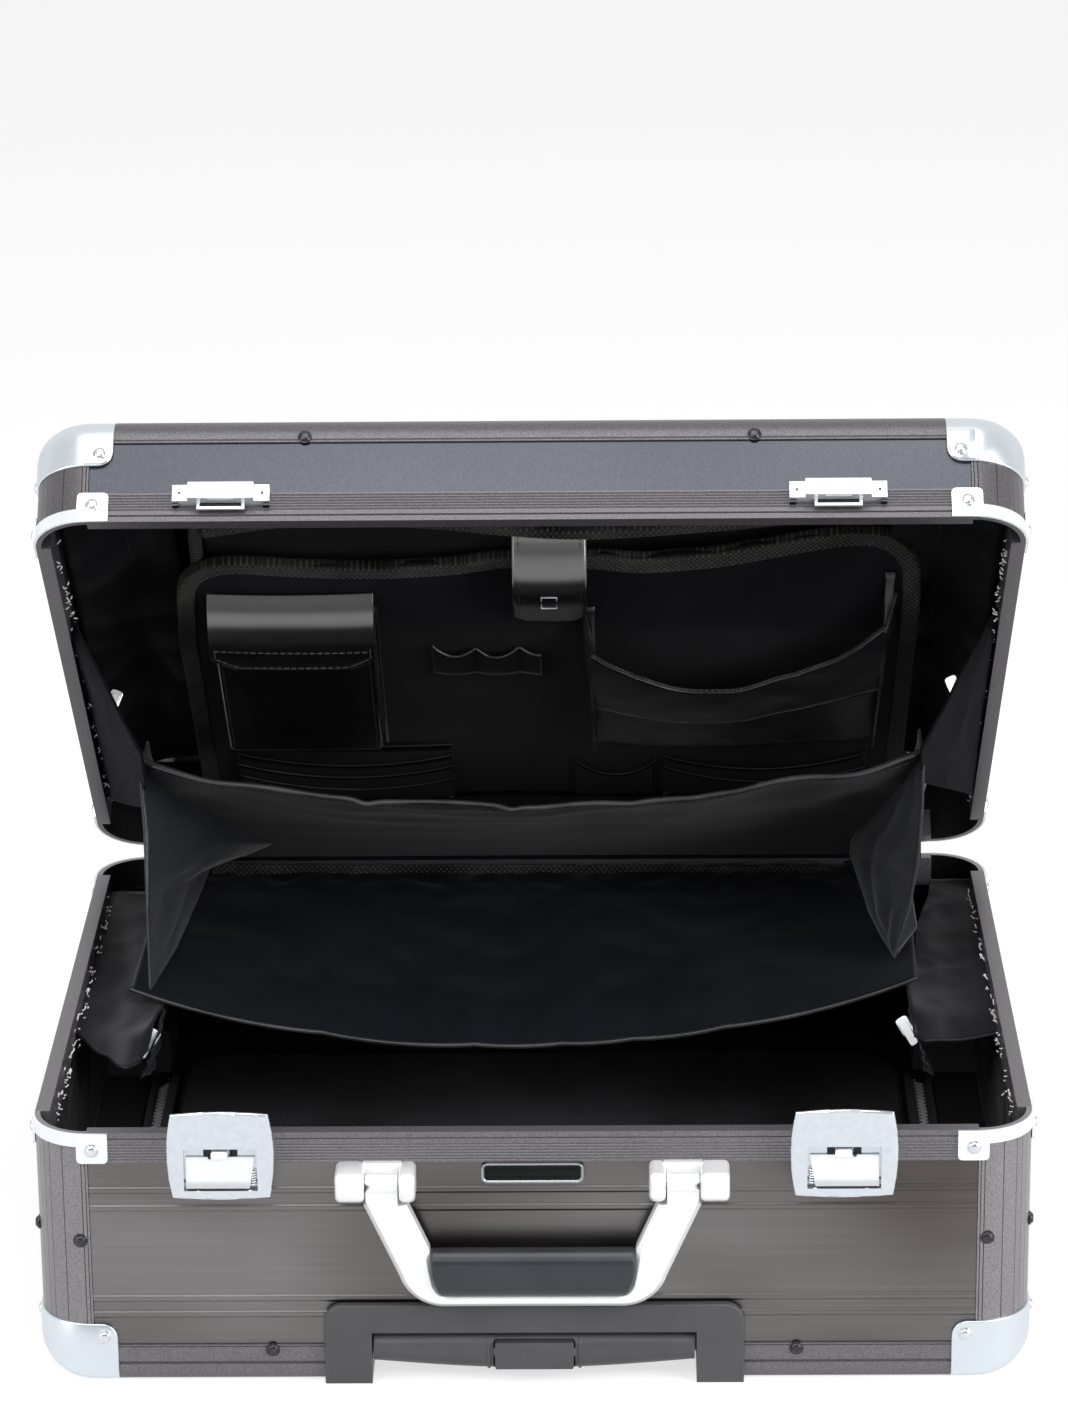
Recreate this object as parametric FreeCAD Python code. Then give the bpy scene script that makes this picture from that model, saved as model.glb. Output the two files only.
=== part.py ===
import FreeCAD, Part
import math
import os

# Rolling aluminium briefcase, lying on its broad back with the lid propped open.
# Millimetres, +Z up. The origin is the middle of the bottom panel's outer face.
# The carrying handle and the latches face -Y and the lid hinge is along +Y.
# Lid pieces are drawn shut, on top of the base, and then turned about the hinge.

# Overall sizes of the case
case_width = 470.0
case_depth = 363.0
base_height = 128.1
lid_height = 59.2
rim_gap = 0.6
lid_open_angle = 45.4
corner_radius = 26.5

# Walls and edge profiles
panel_thickness = 1.6
panel_recess = 1.0
lining_thickness = 2.0
rim_band = 15.4
rim_depth = 7.0
base_rail_height = 18.6
lid_rail_height = 16.7
rail_thickness = 2.4
rail_round = 14.0
fit_gap = 0.3
overrun = 5.0

# Lid hinge
hinge_back = 7.8
hinge_inset = 105.0
hinge_length = 64.0
knuckle_radius = 5.5
hinge_pin_radius = 2.4
running_gap = 0.05

# Levels and faces worked out from the sizes above
half_width = case_width / 2
hinge_spacing = half_width - hinge_inset
front_y = -case_depth / 2
rear_y = case_depth / 2
base_rim_bottom = base_height - rim_band
lid_rim = base_height + rim_gap
lid_top = lid_rim + lid_height
lid_rim_top = lid_rim + rim_band
lid_rail_bottom = lid_top - lid_rail_height
hinge_y = rear_y + hinge_back
hinge_z = base_height + rim_gap / 2
panel_back = panel_recess + panel_thickness
lining_back = panel_back + lining_thickness
panel_half_x = half_width - corner_radius
panel_half_y = rear_y - corner_radius

# Ball corners and wheel housings that close the bottom corners
ball_width = 39.0
base_ball_height = 30.0
lid_ball_height = 29.4
fitting_proud = 1.2
ball_wall = panel_recess + fitting_proud
ball_round = 16.0
housing_length = 58.0
housing_height = 52.0

# Trolley recess in the front bottom edge
bezel_half_width = 99.3
bezel_height = 40.5
bezel_proud = 4.0
bezel_corner = 9.0
notch_half_width = 76.8
notch_height = 26.3
recess_depth = 30.0
recess_wall = 2.2

X_AXIS = FreeCAD.Vector(1, 0, 0)
Y_AXIS = FreeCAD.Vector(0, 1, 0)
ORIGIN = FreeCAD.Vector(0, 0, 0)
HINGE_POINT = FreeCAD.Vector(0, hinge_y, hinge_z)


def vec(x, y, z):
    return FreeCAD.Vector(x, y, z)


def block(x1, x2, y1, y2, z1, z2):
    """A box between two opposite corners."""
    low = vec(min(x1, x2), min(y1, y2), min(z1, z2))
    return Part.makeBox(abs(x2 - x1), abs(y2 - y1), abs(z2 - z1), low)


def bar_x(x1, x2, y, z, radius):
    """A round bar along X."""
    return Part.makeCylinder(radius, abs(x2 - x1), vec(min(x1, x2), y, z), X_AXIS)


def bar_y(x, y1, y2, z, radius):
    """A round bar along Y."""
    return Part.makeCylinder(radius, abs(y2 - y1), vec(x, min(y1, y2), z), Y_AXIS)


def wire(steps):
    """A closed wire. A step is a point, or (middle, end) of an arc from the last point."""
    edges = []
    first = steps[0]
    last = first
    for step in steps[1:]:
        if isinstance(step, tuple):
            middle, end = step
            edges.append(Part.Arc(last, middle, end).toShape())
            last = end
        else:
            edges.append(Part.LineSegment(last, step).toShape())
            last = step
    if last.distanceToPoint(first) > fit_gap / 100:
        edges.append(Part.LineSegment(last, first).toShape())
    return Part.Wire(edges)


def prism(steps, direction):
    """The closed outline, pushed along a direction."""
    return Part.Face(wire(steps)).extrude(direction)


def mirror_x(shape):
    return shape.mirror(ORIGIN, X_AXIS)


def mirror_y(shape):
    return shape.mirror(ORIGIN, Y_AXIS)


def both_sides(shape):
    return [shape, mirror_x(shape)]


def opened(shape):
    """Turns a lid piece, drawn shut, to where the open lid holds it."""
    turned = shape.copy()
    turned.rotate(HINGE_POINT, X_AXIS, -lid_open_angle)
    return turned


def save(name, shapes, on_lid=False):
    """Writes one node: a single shape, or a group of separate solids."""
    if not isinstance(shapes, list):
        shapes = [shapes]
    solids = []
    for shape in shapes:
        solids.extend(shape.Solids)
    if on_lid:
        solids = [opened(solid) for solid in solids]
    for solid in solids:
        if not solid.isValid():
            print("not valid:", name)
    node = solids[0] if len(solids) == 1 else Part.makeCompound(solids)
    node.exportStep("parts/" + name + ".step")
    nodes[name] = node
    box = node.BoundBox
    print(name, len(solids), "solids, volume", round(node.Volume), "low",
          [round(v, 1) for v in (box.XMin, box.YMin, box.ZMin)], "high",
          [round(v, 1) for v in (box.XMax, box.YMax, box.ZMax)])
    return node


def cut_all(shape, tools):
    for tool in tools:
        shape = shape.cut(tool)
    return shape


def front_prism(profile, x1, x2):
    """An edge profile of (inset, z) steps, run along the front face from x1 to x2."""
    def place(point):
        return vec(x1, front_y + point[0], point[1])
    steps = []
    for step in profile:
        if isinstance(step[0], tuple):
            steps.append((place(step[0]), place(step[1])))
        else:
            steps.append(place(step))
    return prism(steps, vec(x2 - x1, 0, 0))


def side_prism(profile, y1, y2):
    """The same profile, run along the +X side from y1 to y2."""
    def place(point):
        return vec(half_width - point[0], y1, point[1])
    steps = []
    for step in profile:
        if isinstance(step[0], tuple):
            steps.append((place(step[0]), place(step[1])))
        else:
            steps.append(place(step))
    return prism(steps, vec(0, y2 - y1, 0))


# Spaces that other pieces keep out of
def housing_spaces():
    inner_x = half_width + fitting_proud - ball_width
    space = block(inner_x, half_width + overrun, rear_y - housing_length, rear_y + overrun,
                  -overrun, housing_height)
    return both_sides(space)


def ball_spaces(z_low, z_high, corners):
    """What the ball corners take up, at the front or at all four corners."""
    inner_x = half_width + fitting_proud - ball_width
    inner_y = front_y - fitting_proud + ball_width
    space = block(inner_x, half_width + overrun, front_y - overrun, inner_y, z_low, z_high)
    front = both_sides(space)
    return front + both_sides(mirror_y(space)) if corners == 4 else front


def recess_space():
    outer_x = notch_half_width + recess_wall
    return block(-outer_x, outer_x, front_y - overrun, front_y + recess_depth + recess_wall,
                 -overrun, notch_height + recess_wall)


# Wall panels with pressed ridges
ridge_rises = (15.7, 24.0)
ridge_drops = (23.4, 14.2)
ridge_proud = 0.7
ridge_half_base = 1.9
ridge_half_crest = 0.9


def ridged_panel_profile(z_low, z_high):
    steps = [(panel_back, z_low), (panel_recess, z_low)]
    levels = [z_low + rise for rise in ridge_rises] + [z_high - drop for drop in ridge_drops]
    for level in levels:
        steps.append((panel_recess, level - ridge_half_base))
        steps.append((panel_recess - ridge_proud, level - ridge_half_crest))
        steps.append((panel_recess - ridge_proud, level + ridge_half_crest))
        steps.append((panel_recess, level + ridge_half_base))
    steps.append((panel_recess, z_high))
    steps.append((panel_back, z_high))
    return steps


def plain_panel_profile(z_low, z_high):
    return [(panel_back, z_low), (panel_recess, z_low), (panel_recess, z_high), (panel_back, z_high)]


def base_front_panel():
    profile = ridged_panel_profile(base_rail_height, base_rim_bottom)
    return front_prism(profile, -panel_half_x, panel_half_x).cut(recess_space())


def base_wall_panels():
    profile = ridged_panel_profile(base_rail_height, base_rim_bottom)
    rear = mirror_y(front_prism(profile, -panel_half_x, panel_half_x))
    side = side_prism(profile, -panel_half_y, panel_half_y)
    walls = [rear] + both_sides(side)
    return [cut_all(wall, housing_spaces()) for wall in walls]


def base_bottom_panel():
    inset = base_rail_height
    panel = block(-half_width + inset, half_width - inset, front_y + inset, rear_y - inset,
                  0, panel_thickness)
    balls = ball_spaces(-overrun, base_ball_height, 2)
    return cut_all(panel, housing_spaces() + [recess_space()] + balls)


def lid_wall_panels():
    profile = plain_panel_profile(lid_rim_top, lid_rail_bottom)
    front = front_prism(profile, -panel_half_x, panel_half_x)
    side = side_prism(profile, -panel_half_y, panel_half_y)
    return [front, mirror_y(front)] + both_sides(side)


def lid_top_panel():
    inset = lid_rail_height
    panel = block(-half_width + inset, half_width - inset, front_y + inset, rear_y - inset,
                  lid_top - panel_thickness, lid_top)
    return cut_all(panel, ball_spaces(lid_top - lid_ball_height, lid_top + overrun, 4))


# Grooved edge extrusions: the rim bars and the rounded rails
fine_groove_depth = 0.45
fine_groove_half = 0.45
fine_groove_pitch = 1.5
fine_groove_count = 6
fine_groove_start = 6.4
seam_groove_drop = 3.2
seam_groove_depth = 0.7
rail_groove_drop = 1.3


def groove_steps(inset, level, half, depth):
    return [(inset, level - half), (inset + depth, level), (inset, level + half)]


def rim_profile(z_open, z_far):
    """The rim bar. z_open is the edge where base and lid meet."""
    away = 1 if z_far > z_open else -1
    levels = [(z_open + away * seam_groove_drop, seam_groove_depth)]
    for index in range(fine_groove_count):
        drop = fine_groove_start + index * fine_groove_pitch
        levels.append((z_open + away * drop, fine_groove_depth))
    levels.sort()
    steps = [(rim_depth, min(z_open, z_far)), (0, min(z_open, z_far))]
    for level, depth in levels:
        steps.extend(groove_steps(0, level, fine_groove_half, depth))
    steps.extend([(0, max(z_open, z_far)), (rim_depth, max(z_open, z_far))])
    return steps


def rail_profile(z_outer, z_inner):
    """The rounded rail between a wall and the bottom or top panel."""
    up = 1 if z_inner > z_outer else -1
    height = abs(z_inner - z_outer)
    lean = rail_round * (1 - math.sqrt(0.5))
    inner_round = rail_round - rail_thickness
    inner_lean = rail_thickness + inner_round * (1 - math.sqrt(0.5))
    steps = [(rail_thickness, z_inner), (0, z_inner)]
    groove = groove_steps(0, z_inner - up * rail_groove_drop, fine_groove_half, fine_groove_depth)
    steps.extend(groove[::-1] if up > 0 else groove)
    steps.append((0, z_outer + up * rail_round))
    steps.append(((lean, z_outer + up * lean), (rail_round, z_outer)))
    steps.append((height, z_outer))
    steps.append((height, z_outer + up * rail_thickness))
    steps.append((rail_round, z_outer + up * rail_thickness))
    steps.append(((inner_lean, z_outer + up * inner_lean), (rail_thickness, z_outer + up * rail_round)))
    return steps


def base_edge_rails():
    end_x = half_width + fitting_proud - ball_width
    end_y = front_y - fitting_proud + ball_width
    rail = rail_profile(0, base_rail_height)
    front_inner = notch_half_width + recess_wall
    front = both_sides(front_prism(rail, front_inner, end_x))
    rear = mirror_y(front_prism(rail, -end_x, end_x))
    side = both_sides(side_prism(rail, end_y, rear_y - housing_length))
    rim = rim_profile(base_height, base_rim_bottom)
    rim_front = front_prism(rim, -panel_half_x, panel_half_x)
    rim_side = both_sides(side_prism(rim, -panel_half_y, panel_half_y))
    return front + [rear] + side + [rim_front, mirror_y(rim_front)] + rim_side


def lid_edge_rails():
    end_x = half_width + fitting_proud - ball_width
    end_y = rear_y + fitting_proud - ball_width
    rail = rail_profile(lid_top, lid_rail_bottom)
    front = front_prism(rail, -end_x, end_x)
    side = both_sides(side_prism(rail, -end_y, end_y))
    rim = rim_profile(lid_rim, lid_rim_top)
    rim_front = front_prism(rim, -panel_half_x, panel_half_x)
    rim_side = both_sides(side_prism(rim, -panel_half_y, panel_half_y))
    return [front, mirror_y(front)] + side + [rim_front, mirror_y(rim_front)] + rim_side


# Rounded corner columns
def quarter_ring(outer, inner, z_low, z_high):
    """A quarter ring round the front +X corner."""
    centre_x = half_width - corner_radius
    centre_y = front_y + corner_radius
    mid = math.sqrt(0.5)
    def spot(radius, across, down):
        return vec(centre_x + radius * across, centre_y - radius * down, z_low)
    steps = [spot(outer, 0, 1), (spot(outer, mid, mid), spot(outer, 1, 0)),
             spot(inner, 1, 0), (spot(inner, mid, mid), spot(inner, 0, 1))]
    return prism(steps, vec(0, 0, z_high - z_low))


def base_corner_columns():
    inner = corner_radius - panel_back
    front = quarter_ring(corner_radius, inner, base_ball_height, base_height)
    rear = mirror_y(quarter_ring(corner_radius, inner, housing_height, base_height))
    return both_sides(front) + both_sides(rear)


def lid_corner_columns():
    inner = corner_radius - panel_back
    front = quarter_ring(corner_radius, inner, lid_rim, lid_top - lid_ball_height)
    return both_sides(front) + both_sides(mirror_y(front))


# Ball corners: hollow silver caps, rounded both ways
def ball_block(grow, round_grow, height, z_outer, up):
    """A corner block whose outer faces lie grow outside the case, its end faces in place."""
    x_end = half_width + fitting_proud - ball_width
    y_end = front_y - fitting_proud + ball_width
    z_far = z_outer + up * height
    z_near = z_outer - up * (grow - fitting_proud)
    body = block(x_end, half_width + grow, front_y - grow, y_end, z_near, z_far)
    def upright(edge):
        middle = edge.BoundBox.Center
        return (abs(middle.x - half_width - grow) < fit_gap and abs(middle.y - front_y + grow) < fit_gap)
    body = body.makeFillet(corner_radius + grow, [e for e in body.Edges if upright(e)])
    def foot(edge):
        box = edge.BoundBox
        on_face = abs(box.ZMin - z_near) < fit_gap and abs(box.ZMax - z_near) < fit_gap
        inner_x = box.XMin > x_end - fit_gap and abs(box.XMax - x_end) < fit_gap
        inner_y = box.YMax < y_end + fit_gap and abs(box.YMin - y_end) < fit_gap
        return on_face and not inner_x and not inner_y
    return body.makeFillet(ball_round + round_grow, [e for e in body.Edges if foot(e)])


def ball_corner(height, z_outer, up):
    outer = ball_block(fitting_proud, 0, height, z_outer, up)
    inner = ball_block(fitting_proud - ball_wall, -ball_wall, height, z_outer, up)
    longer = inner.copy()
    shifts = [vec(-ball_wall, 0, 0), vec(0, ball_wall, 0), vec(0, 0, up * ball_wall)]
    hollow = inner
    for shift in shifts:
        moved = longer.copy()
        moved.translate(shift)
        hollow = hollow.fuse(moved)
    return outer.cut(hollow)


def base_ball_corners():
    return both_sides(ball_corner(base_ball_height, 0, 1))


def lid_ball_corners():
    front = ball_corner(lid_ball_height, lid_top, -1)
    return both_sides(front) + both_sides(mirror_y(front))


# Silver brackets round the rim's corners, each ending in two riveted tabs
tab_reach = 36.4
tab_width = 15.0
tab_height = 13.4
tab_drop = 1.6
strip_height = 6.6


def rim_bracket(z_open, away):
    outer = corner_radius + fitting_proud
    z_strip = z_open + away * strip_height
    ring = quarter_ring(outer, corner_radius, min(z_open, z_strip), max(z_open, z_strip))
    start_x = half_width - corner_radius
    start_y = front_y + corner_radius
    tab_x = half_width - tab_reach
    tab_y = front_y + tab_reach
    z_tab = z_open + away * (tab_drop + tab_height)
    z_tab_open = z_open + away * tab_drop
    front_strip = block(tab_x, start_x, front_y - fitting_proud, front_y, z_open, z_strip)
    side_strip = block(half_width, half_width + fitting_proud, start_y, tab_y, z_open, z_strip)
    front_tab = block(tab_x, tab_x + tab_width - fit_gap, front_y - fitting_proud, front_y,
                      z_tab_open, z_tab)
    side_tab = block(half_width, half_width + fitting_proud, tab_y - tab_width + fit_gap, tab_y,
                     z_tab_open, z_tab)
    return ring.fuse([front_strip, side_strip, front_tab, side_tab]).removeSplitter()


def base_rim_brackets():
    front = rim_bracket(base_height, -1)
    return both_sides(front) + both_sides(mirror_y(front))


def lid_rim_brackets():
    front = rim_bracket(lid_rim, 1)
    return both_sides(front) + both_sides(mirror_y(front))


# Rivets
rivet_radius = 3.3
rivet_proud = 1.3
rivet_round = 0.8
rivet_sink = 1.0
corner_rivet_inset = 31.5
corner_rivet_level = 23.5
tab_rivet_level = 8.4
rail_rivet_x = 124.0
lid_rail_rivet_x = 106.5
rail_rivet_inset = 2.6
column_rivet_inset = 21.8
column_rivet_level = 73.0


def rivet(point, outward, carriers):
    """A domed rivet head whose seat lies on the carriers' surface."""
    start = point - outward * rivet_sink
    head = Part.makeCylinder(rivet_radius, rivet_sink + rivet_proud, start, outward)
    top = point + outward * rivet_proud
    rim = [e for e in head.Edges if e.BoundBox.Center.distanceToPoint(top) < rivet_round]
    head = head.makeFillet(rivet_round, rim)
    return cut_all(head, carriers).Solids[0]


def face_rivets(x_inset, level, proud, carriers):
    """Rivets at one inset from the corner on the front face and on the side face."""
    front = rivet(vec(half_width - x_inset, front_y - proud, level), -Y_AXIS, carriers)
    side = rivet(vec(half_width + proud, front_y + x_inset, level), X_AXIS, carriers)
    return [front, side]


def four_corners(shapes):
    group = []
    for shape in shapes:
        group.extend(both_sides(shape))
        group.extend(both_sides(mirror_y(shape)))
    return group


def base_rivets():
    columns = base_corner_columns()
    balls = base_ball_corners()
    brackets = base_rim_brackets()
    rails = base_edge_rails()
    tab_inset = tab_reach - tab_width / 2
    group = four_corners(face_rivets(tab_inset, base_height - tab_rivet_level, fitting_proud,
                                     brackets + rails + columns))
    for shape in face_rivets(corner_rivet_inset, corner_rivet_level, fitting_proud, balls):
        group.extend(both_sides(shape))
    group.extend(four_corners(face_rivets(column_rivet_inset, column_rivet_level, 0,
                                          columns + [base_front_panel()] + base_wall_panels())))
    low = rivet(vec(rail_rivet_x, front_y, base_rail_height - rail_rivet_inset), -Y_AXIS, rails)
    group.extend(both_sides(low) + both_sides(mirror_y(low)))
    return group


def lid_rivets():
    balls = lid_ball_corners()
    brackets = lid_rim_brackets()
    rails = lid_edge_rails()
    columns = lid_corner_columns()
    tab_inset = tab_reach - tab_width / 2
    group = four_corners(face_rivets(tab_inset, lid_rim + tab_rivet_level, fitting_proud,
                                     brackets + rails + columns))
    group.extend(four_corners(face_rivets(corner_rivet_inset, lid_top - corner_rivet_level,
                                          fitting_proud, balls)))
    high = rivet(vec(lid_rail_rivet_x, front_y, lid_rail_bottom + rail_rivet_inset), -Y_AXIS, rails)
    group.extend(both_sides(high) + both_sides(mirror_y(high)))
    return group


# Linings: boards on the walls and curved pieces in the corners
def lining_set(z_low, z_high, spaces):
    profile = [(panel_back, z_low), (lining_back, z_low), (lining_back, z_high), (panel_back, z_high)]
    front = front_prism(profile, -panel_half_x, panel_half_x)
    side = side_prism(profile, -panel_half_y, panel_half_y)
    corner = quarter_ring(corner_radius - panel_back, corner_radius - lining_back, z_low, z_high)
    pieces = [front, mirror_y(front)] + both_sides(side)
    pieces += both_sides(corner) + both_sides(mirror_y(corner))
    return [cut_all(piece, spaces) for piece in pieces]


# How far the linings stay from the bottom and the top, clear of the rails' inner round
rail_inner_round = rail_round - rail_thickness
lining_cove = rail_round - math.sqrt(rail_inner_round ** 2 - (rail_round - panel_back) ** 2) + fit_gap
roof_depth = lid_height - panel_thickness - lining_thickness


def base_wall_lining():
    return lining_set(lining_cove, base_rim_bottom, housing_spaces() + [recess_space()])


def lid_wall_lining():
    walls = lining_set(lid_rim_top, lid_top - lining_cove, [])
    roof_x = half_width - lid_rail_height
    roof_y = rear_y - lid_rail_height
    roof = block(-roof_x, roof_x, -roof_y, roof_y, lid_rim + roof_depth, lid_top - panel_thickness)
    return walls + [cut_all(roof, ball_spaces(lid_rim, lid_top + overrun, 4))]


def lined_space(z_low, z_high):
    """The room inside the linings, with their rounded corners."""
    x = half_width - lining_back
    y = rear_y - lining_back
    room = block(-x, x, -y, y, z_low, z_high)
    upright = [e for e in room.Edges if e.BoundBox.ZLength > (z_high - z_low) / 2 and
               e.BoundBox.XLength < fit_gap and e.BoundBox.YLength < fit_gap]
    return room.makeFillet(corner_radius - lining_back, upright)


# False floor over the trolley tubes
floor_top = 26.0
floor_board = 2.0
floor_flange = 2.0
floor_side_gap = 14.0


def base_floor_panel():
    x = half_width - lining_back - floor_side_gap
    y = rear_y - base_rail_height
    board = lined_space(floor_top - floor_board, floor_top)
    flange = block(x - floor_flange, x, -y, y, panel_thickness, floor_top - floor_board)
    tray = board.fuse(both_sides(flange)).removeSplitter()
    balls = ball_spaces(-overrun, floor_top - floor_board, 2)
    return cut_all(tray, housing_spaces() + [recess_space()] + balls)


# Trolley handle: bezel, telescopic tubes, grip and release button
tube_spacing = 62.0
tube_level = 13.0
outer_tube_width = 24.0
outer_tube_height = 15.0
outer_tube_wall = 1.2
middle_tube_width = 20.8
middle_tube_height = 11.8
middle_tube_wall = 1.1
inner_tube_width = 17.8
inner_tube_height = 8.8
inner_tube_wall = 1.2
tube_rear_gap = 23.5
middle_tube_gap = 8.0
inner_tube_gap = 4.0
tube_mount_thickness = 4.0
grip_depth = 16.0
grip_gap = 0.6
grip_end_bottom = 9.5
grip_middle_bottom = 5.0
grip_edge_round = 2.0
button_half_width = 18.6
button_low = 7.6
button_high = 21.4
button_proud = 1.5
button_depth = 8.0
button_clear = 0.4
button_travel = 2.5
rod_radius = 1.5
rod_bar_depth = 2.5
rod_bar_half_height = 2.0
rod_gap = 16.0
spring_length = 4.6
spring_radius = 3.0
spring_spacing = 34.0

outer_tube_rear = rear_y - tube_rear_gap
middle_tube_rear = outer_tube_rear - middle_tube_gap
inner_tube_rear = middle_tube_rear - inner_tube_gap
rod_rear = inner_tube_rear - rod_gap
recess_back = front_y + recess_depth
grip_front = front_y - bezel_proud
grip_back = grip_front + grip_depth
grip_top = notch_height - grip_gap
button_back = grip_front - button_proud + button_depth
bar_back = button_back + rod_bar_depth
spring_end = bar_back + spring_length


def tube(width, height, wall, y1, y2):
    """A pair of rectangular tubes, one each side."""
    x = tube_spacing
    outer = block(x - width / 2, x + width / 2, y1, y2, tube_level - height / 2, tube_level + height / 2)
    bore = block(x - width / 2 + wall, x + width / 2 - wall, y1 - overrun, y2 + overrun,
                 tube_level - height / 2 + wall, tube_level + height / 2 - wall)
    return both_sides(outer.cut(bore))


def trolley_bezel():
    z = bezel_height
    x = bezel_half_width
    r = bezel_corner
    lean = r * (1 - math.sqrt(0.5))
    y = front_y - bezel_proud
    steps = [vec(-x, y, 0), vec(-x, y, z - r), (vec(-x + lean, y, z - lean), vec(-x + r, y, z)),
             vec(x - r, y, z), (vec(x - lean, y, z - lean), vec(x, y, z - r)), vec(x, y, 0)]
    plate = prism(steps, vec(0, bezel_proud, 0))
    front_edges = [e for e in plate.Edges if e.BoundBox.YMax < y + fit_gap and e.BoundBox.ZMax > fit_gap]
    plate = plate.makeFillet(recess_wall / 2, front_edges)
    pad = block(-x + r, x - r, front_y, front_y + panel_recess, base_rail_height, z - r / 2)
    outer_x = notch_half_width + recess_wall
    shell = block(-outer_x, outer_x, front_y, recess_back + recess_wall, 0, notch_height + recess_wall)
    body = plate.fuse([pad, shell]).removeSplitter()
    hollow = block(-notch_half_width, notch_half_width, y - overrun, recess_back, -overrun, notch_height)
    hole_x = middle_tube_width / 2 + button_clear
    hole_z = middle_tube_height / 2 + button_clear
    hole = block(tube_spacing - hole_x, tube_spacing + hole_x, recess_back - overrun,
                 recess_back + recess_wall + overrun, tube_level - hole_z, tube_level + hole_z)
    return cut_all(body, [hollow, base_front_panel()] + both_sides(hole))


def trolley_outer_tubes():
    return tube(outer_tube_width, outer_tube_height, outer_tube_wall, recess_back + recess_wall,
                outer_tube_rear)


def trolley_middle_tubes():
    return tube(middle_tube_width, middle_tube_height, middle_tube_wall, recess_back, middle_tube_rear)


def trolley_inner_tubes():
    return tube(inner_tube_width, inner_tube_height, inner_tube_wall, grip_back, inner_tube_rear)


def trolley_tube_mounts():
    x1 = tube_spacing - outer_tube_width / 2 - tube_mount_thickness
    x2 = tube_spacing + outer_tube_width / 2 + tube_mount_thickness
    y1 = outer_tube_rear - outer_tube_width
    y2 = outer_tube_rear + tube_mount_thickness
    z2 = tube_level + outer_tube_height / 2
    mount = block(x1, x2, y1, y2, panel_thickness, z2)
    seat = block(tube_spacing - outer_tube_width / 2, tube_spacing + outer_tube_width / 2,
                 y1 - overrun, outer_tube_rear, tube_level - outer_tube_height / 2, z2 + overrun)
    return both_sides(mount.cut(seat))


def trolley_grip():
    x = notch_half_width - grip_gap
    y = grip_front
    steps = [vec(-x, y, grip_top), vec(x, y, grip_top), vec(x, y, grip_end_bottom),
             (vec(0, y, grip_middle_bottom), vec(-x, y, grip_end_bottom))]
    body = prism(steps, vec(0, grip_depth, 0))
    long_edges = [e for e in body.Edges if e.BoundBox.XLength > x]
    body = body.makeFillet(grip_edge_round, long_edges)
    clear = button_clear
    pocket = block(-button_half_width - clear, button_half_width + clear, y - overrun, bar_back,
                   button_low - clear, button_high + clear)
    slot_x = tube_spacing + rod_radius + clear
    channel = block(-slot_x, slot_x, button_back - clear, spring_end,
                    tube_level - rod_bar_half_height - clear - rod_radius,
                    tube_level + rod_bar_half_height + clear + rod_radius)
    hole = bar_y(tube_spacing, spring_end - overrun, grip_back + overrun, tube_level, rod_radius + clear)
    return cut_all(body, [pocket, channel] + both_sides(hole))


def release_button():
    body = block(-button_half_width, button_half_width, grip_front - button_proud, button_back,
                 button_low, button_high)
    face = [e for e in body.Edges if e.BoundBox.YMax < grip_front - button_proud + fit_gap]
    return body.makeFillet(button_proud / 2, face)


def release_rods():
    bar = block(-tube_spacing - rod_radius, tube_spacing + rod_radius, button_back, bar_back,
                tube_level - rod_bar_half_height, tube_level + rod_bar_half_height)
    rod = bar_y(tube_spacing, bar_back, rod_rear, tube_level, rod_radius)
    return bar.fuse(both_sides(rod)).removeSplitter()


def button_springs():
    sleeve = bar_y(spring_spacing, bar_back, spring_end, tube_level, spring_radius)
    core = bar_y(spring_spacing, bar_back - overrun, spring_end + overrun, tube_level, rod_radius)
    return both_sides(sleeve.cut(core))


# Wheels in their corner housings, and the feet that stand level with them
wheel_radius = 24.0
wheel_width = 18.0
wheel_level = 25.0
wheel_inset = 6.0
wheel_side_gap = 0.6
wheel_well_gap = 2.0
wheel_crown = 3.0
wheel_dish = 2.0
wheel_rim_width = 8.0
axle_radius = 3.0
foot_width = 20.0
foot_height = 22.0
foot_inset = 27.0
foot_top_drop = 20.1
foot_top = base_height - foot_top_drop

wheel_x = half_width + fitting_proud - ball_width / 2 - wheel_width / 4
wheel_y = rear_y - wheel_inset
wheel_reach = wheel_y + wheel_radius


def wheel_housings():
    x_end = half_width + fitting_proud - ball_width
    y_end = rear_y - housing_length
    body = block(x_end, half_width + fitting_proud, y_end, rear_y + fitting_proud, 0, housing_height)
    def upright(edge):
        middle = edge.BoundBox.Center
        outer_x = abs(middle.x - half_width - fitting_proud) < fit_gap
        return outer_x and abs(middle.y - rear_y - fitting_proud) < fit_gap
    body = body.makeFillet(corner_radius + fitting_proud, [e for e in body.Edges if upright(e)])
    well_x = wheel_width / 2 + wheel_side_gap
    well_r = wheel_radius + wheel_well_gap
    lean = well_r * math.sqrt(0.5)
    def p(y, z):
        return vec(wheel_x - well_x, y, z)
    steps = [p(wheel_y - well_r, -overrun), p(wheel_y - well_r, wheel_level),
             (p(wheel_y - lean, wheel_level + lean), p(wheel_y, wheel_level + well_r)),
             p(rear_y + overrun, wheel_level + well_r), p(rear_y + overrun, -overrun)]
    well = prism(steps, vec(2 * well_x, 0, 0))
    axle = wheel_x + wheel_width / 2 + wheel_rim_width / 2
    bore = bar_x(x_end - overrun, axle, wheel_y, wheel_level, axle_radius)
    return both_sides(cut_all(body, [well, bore]))


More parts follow.
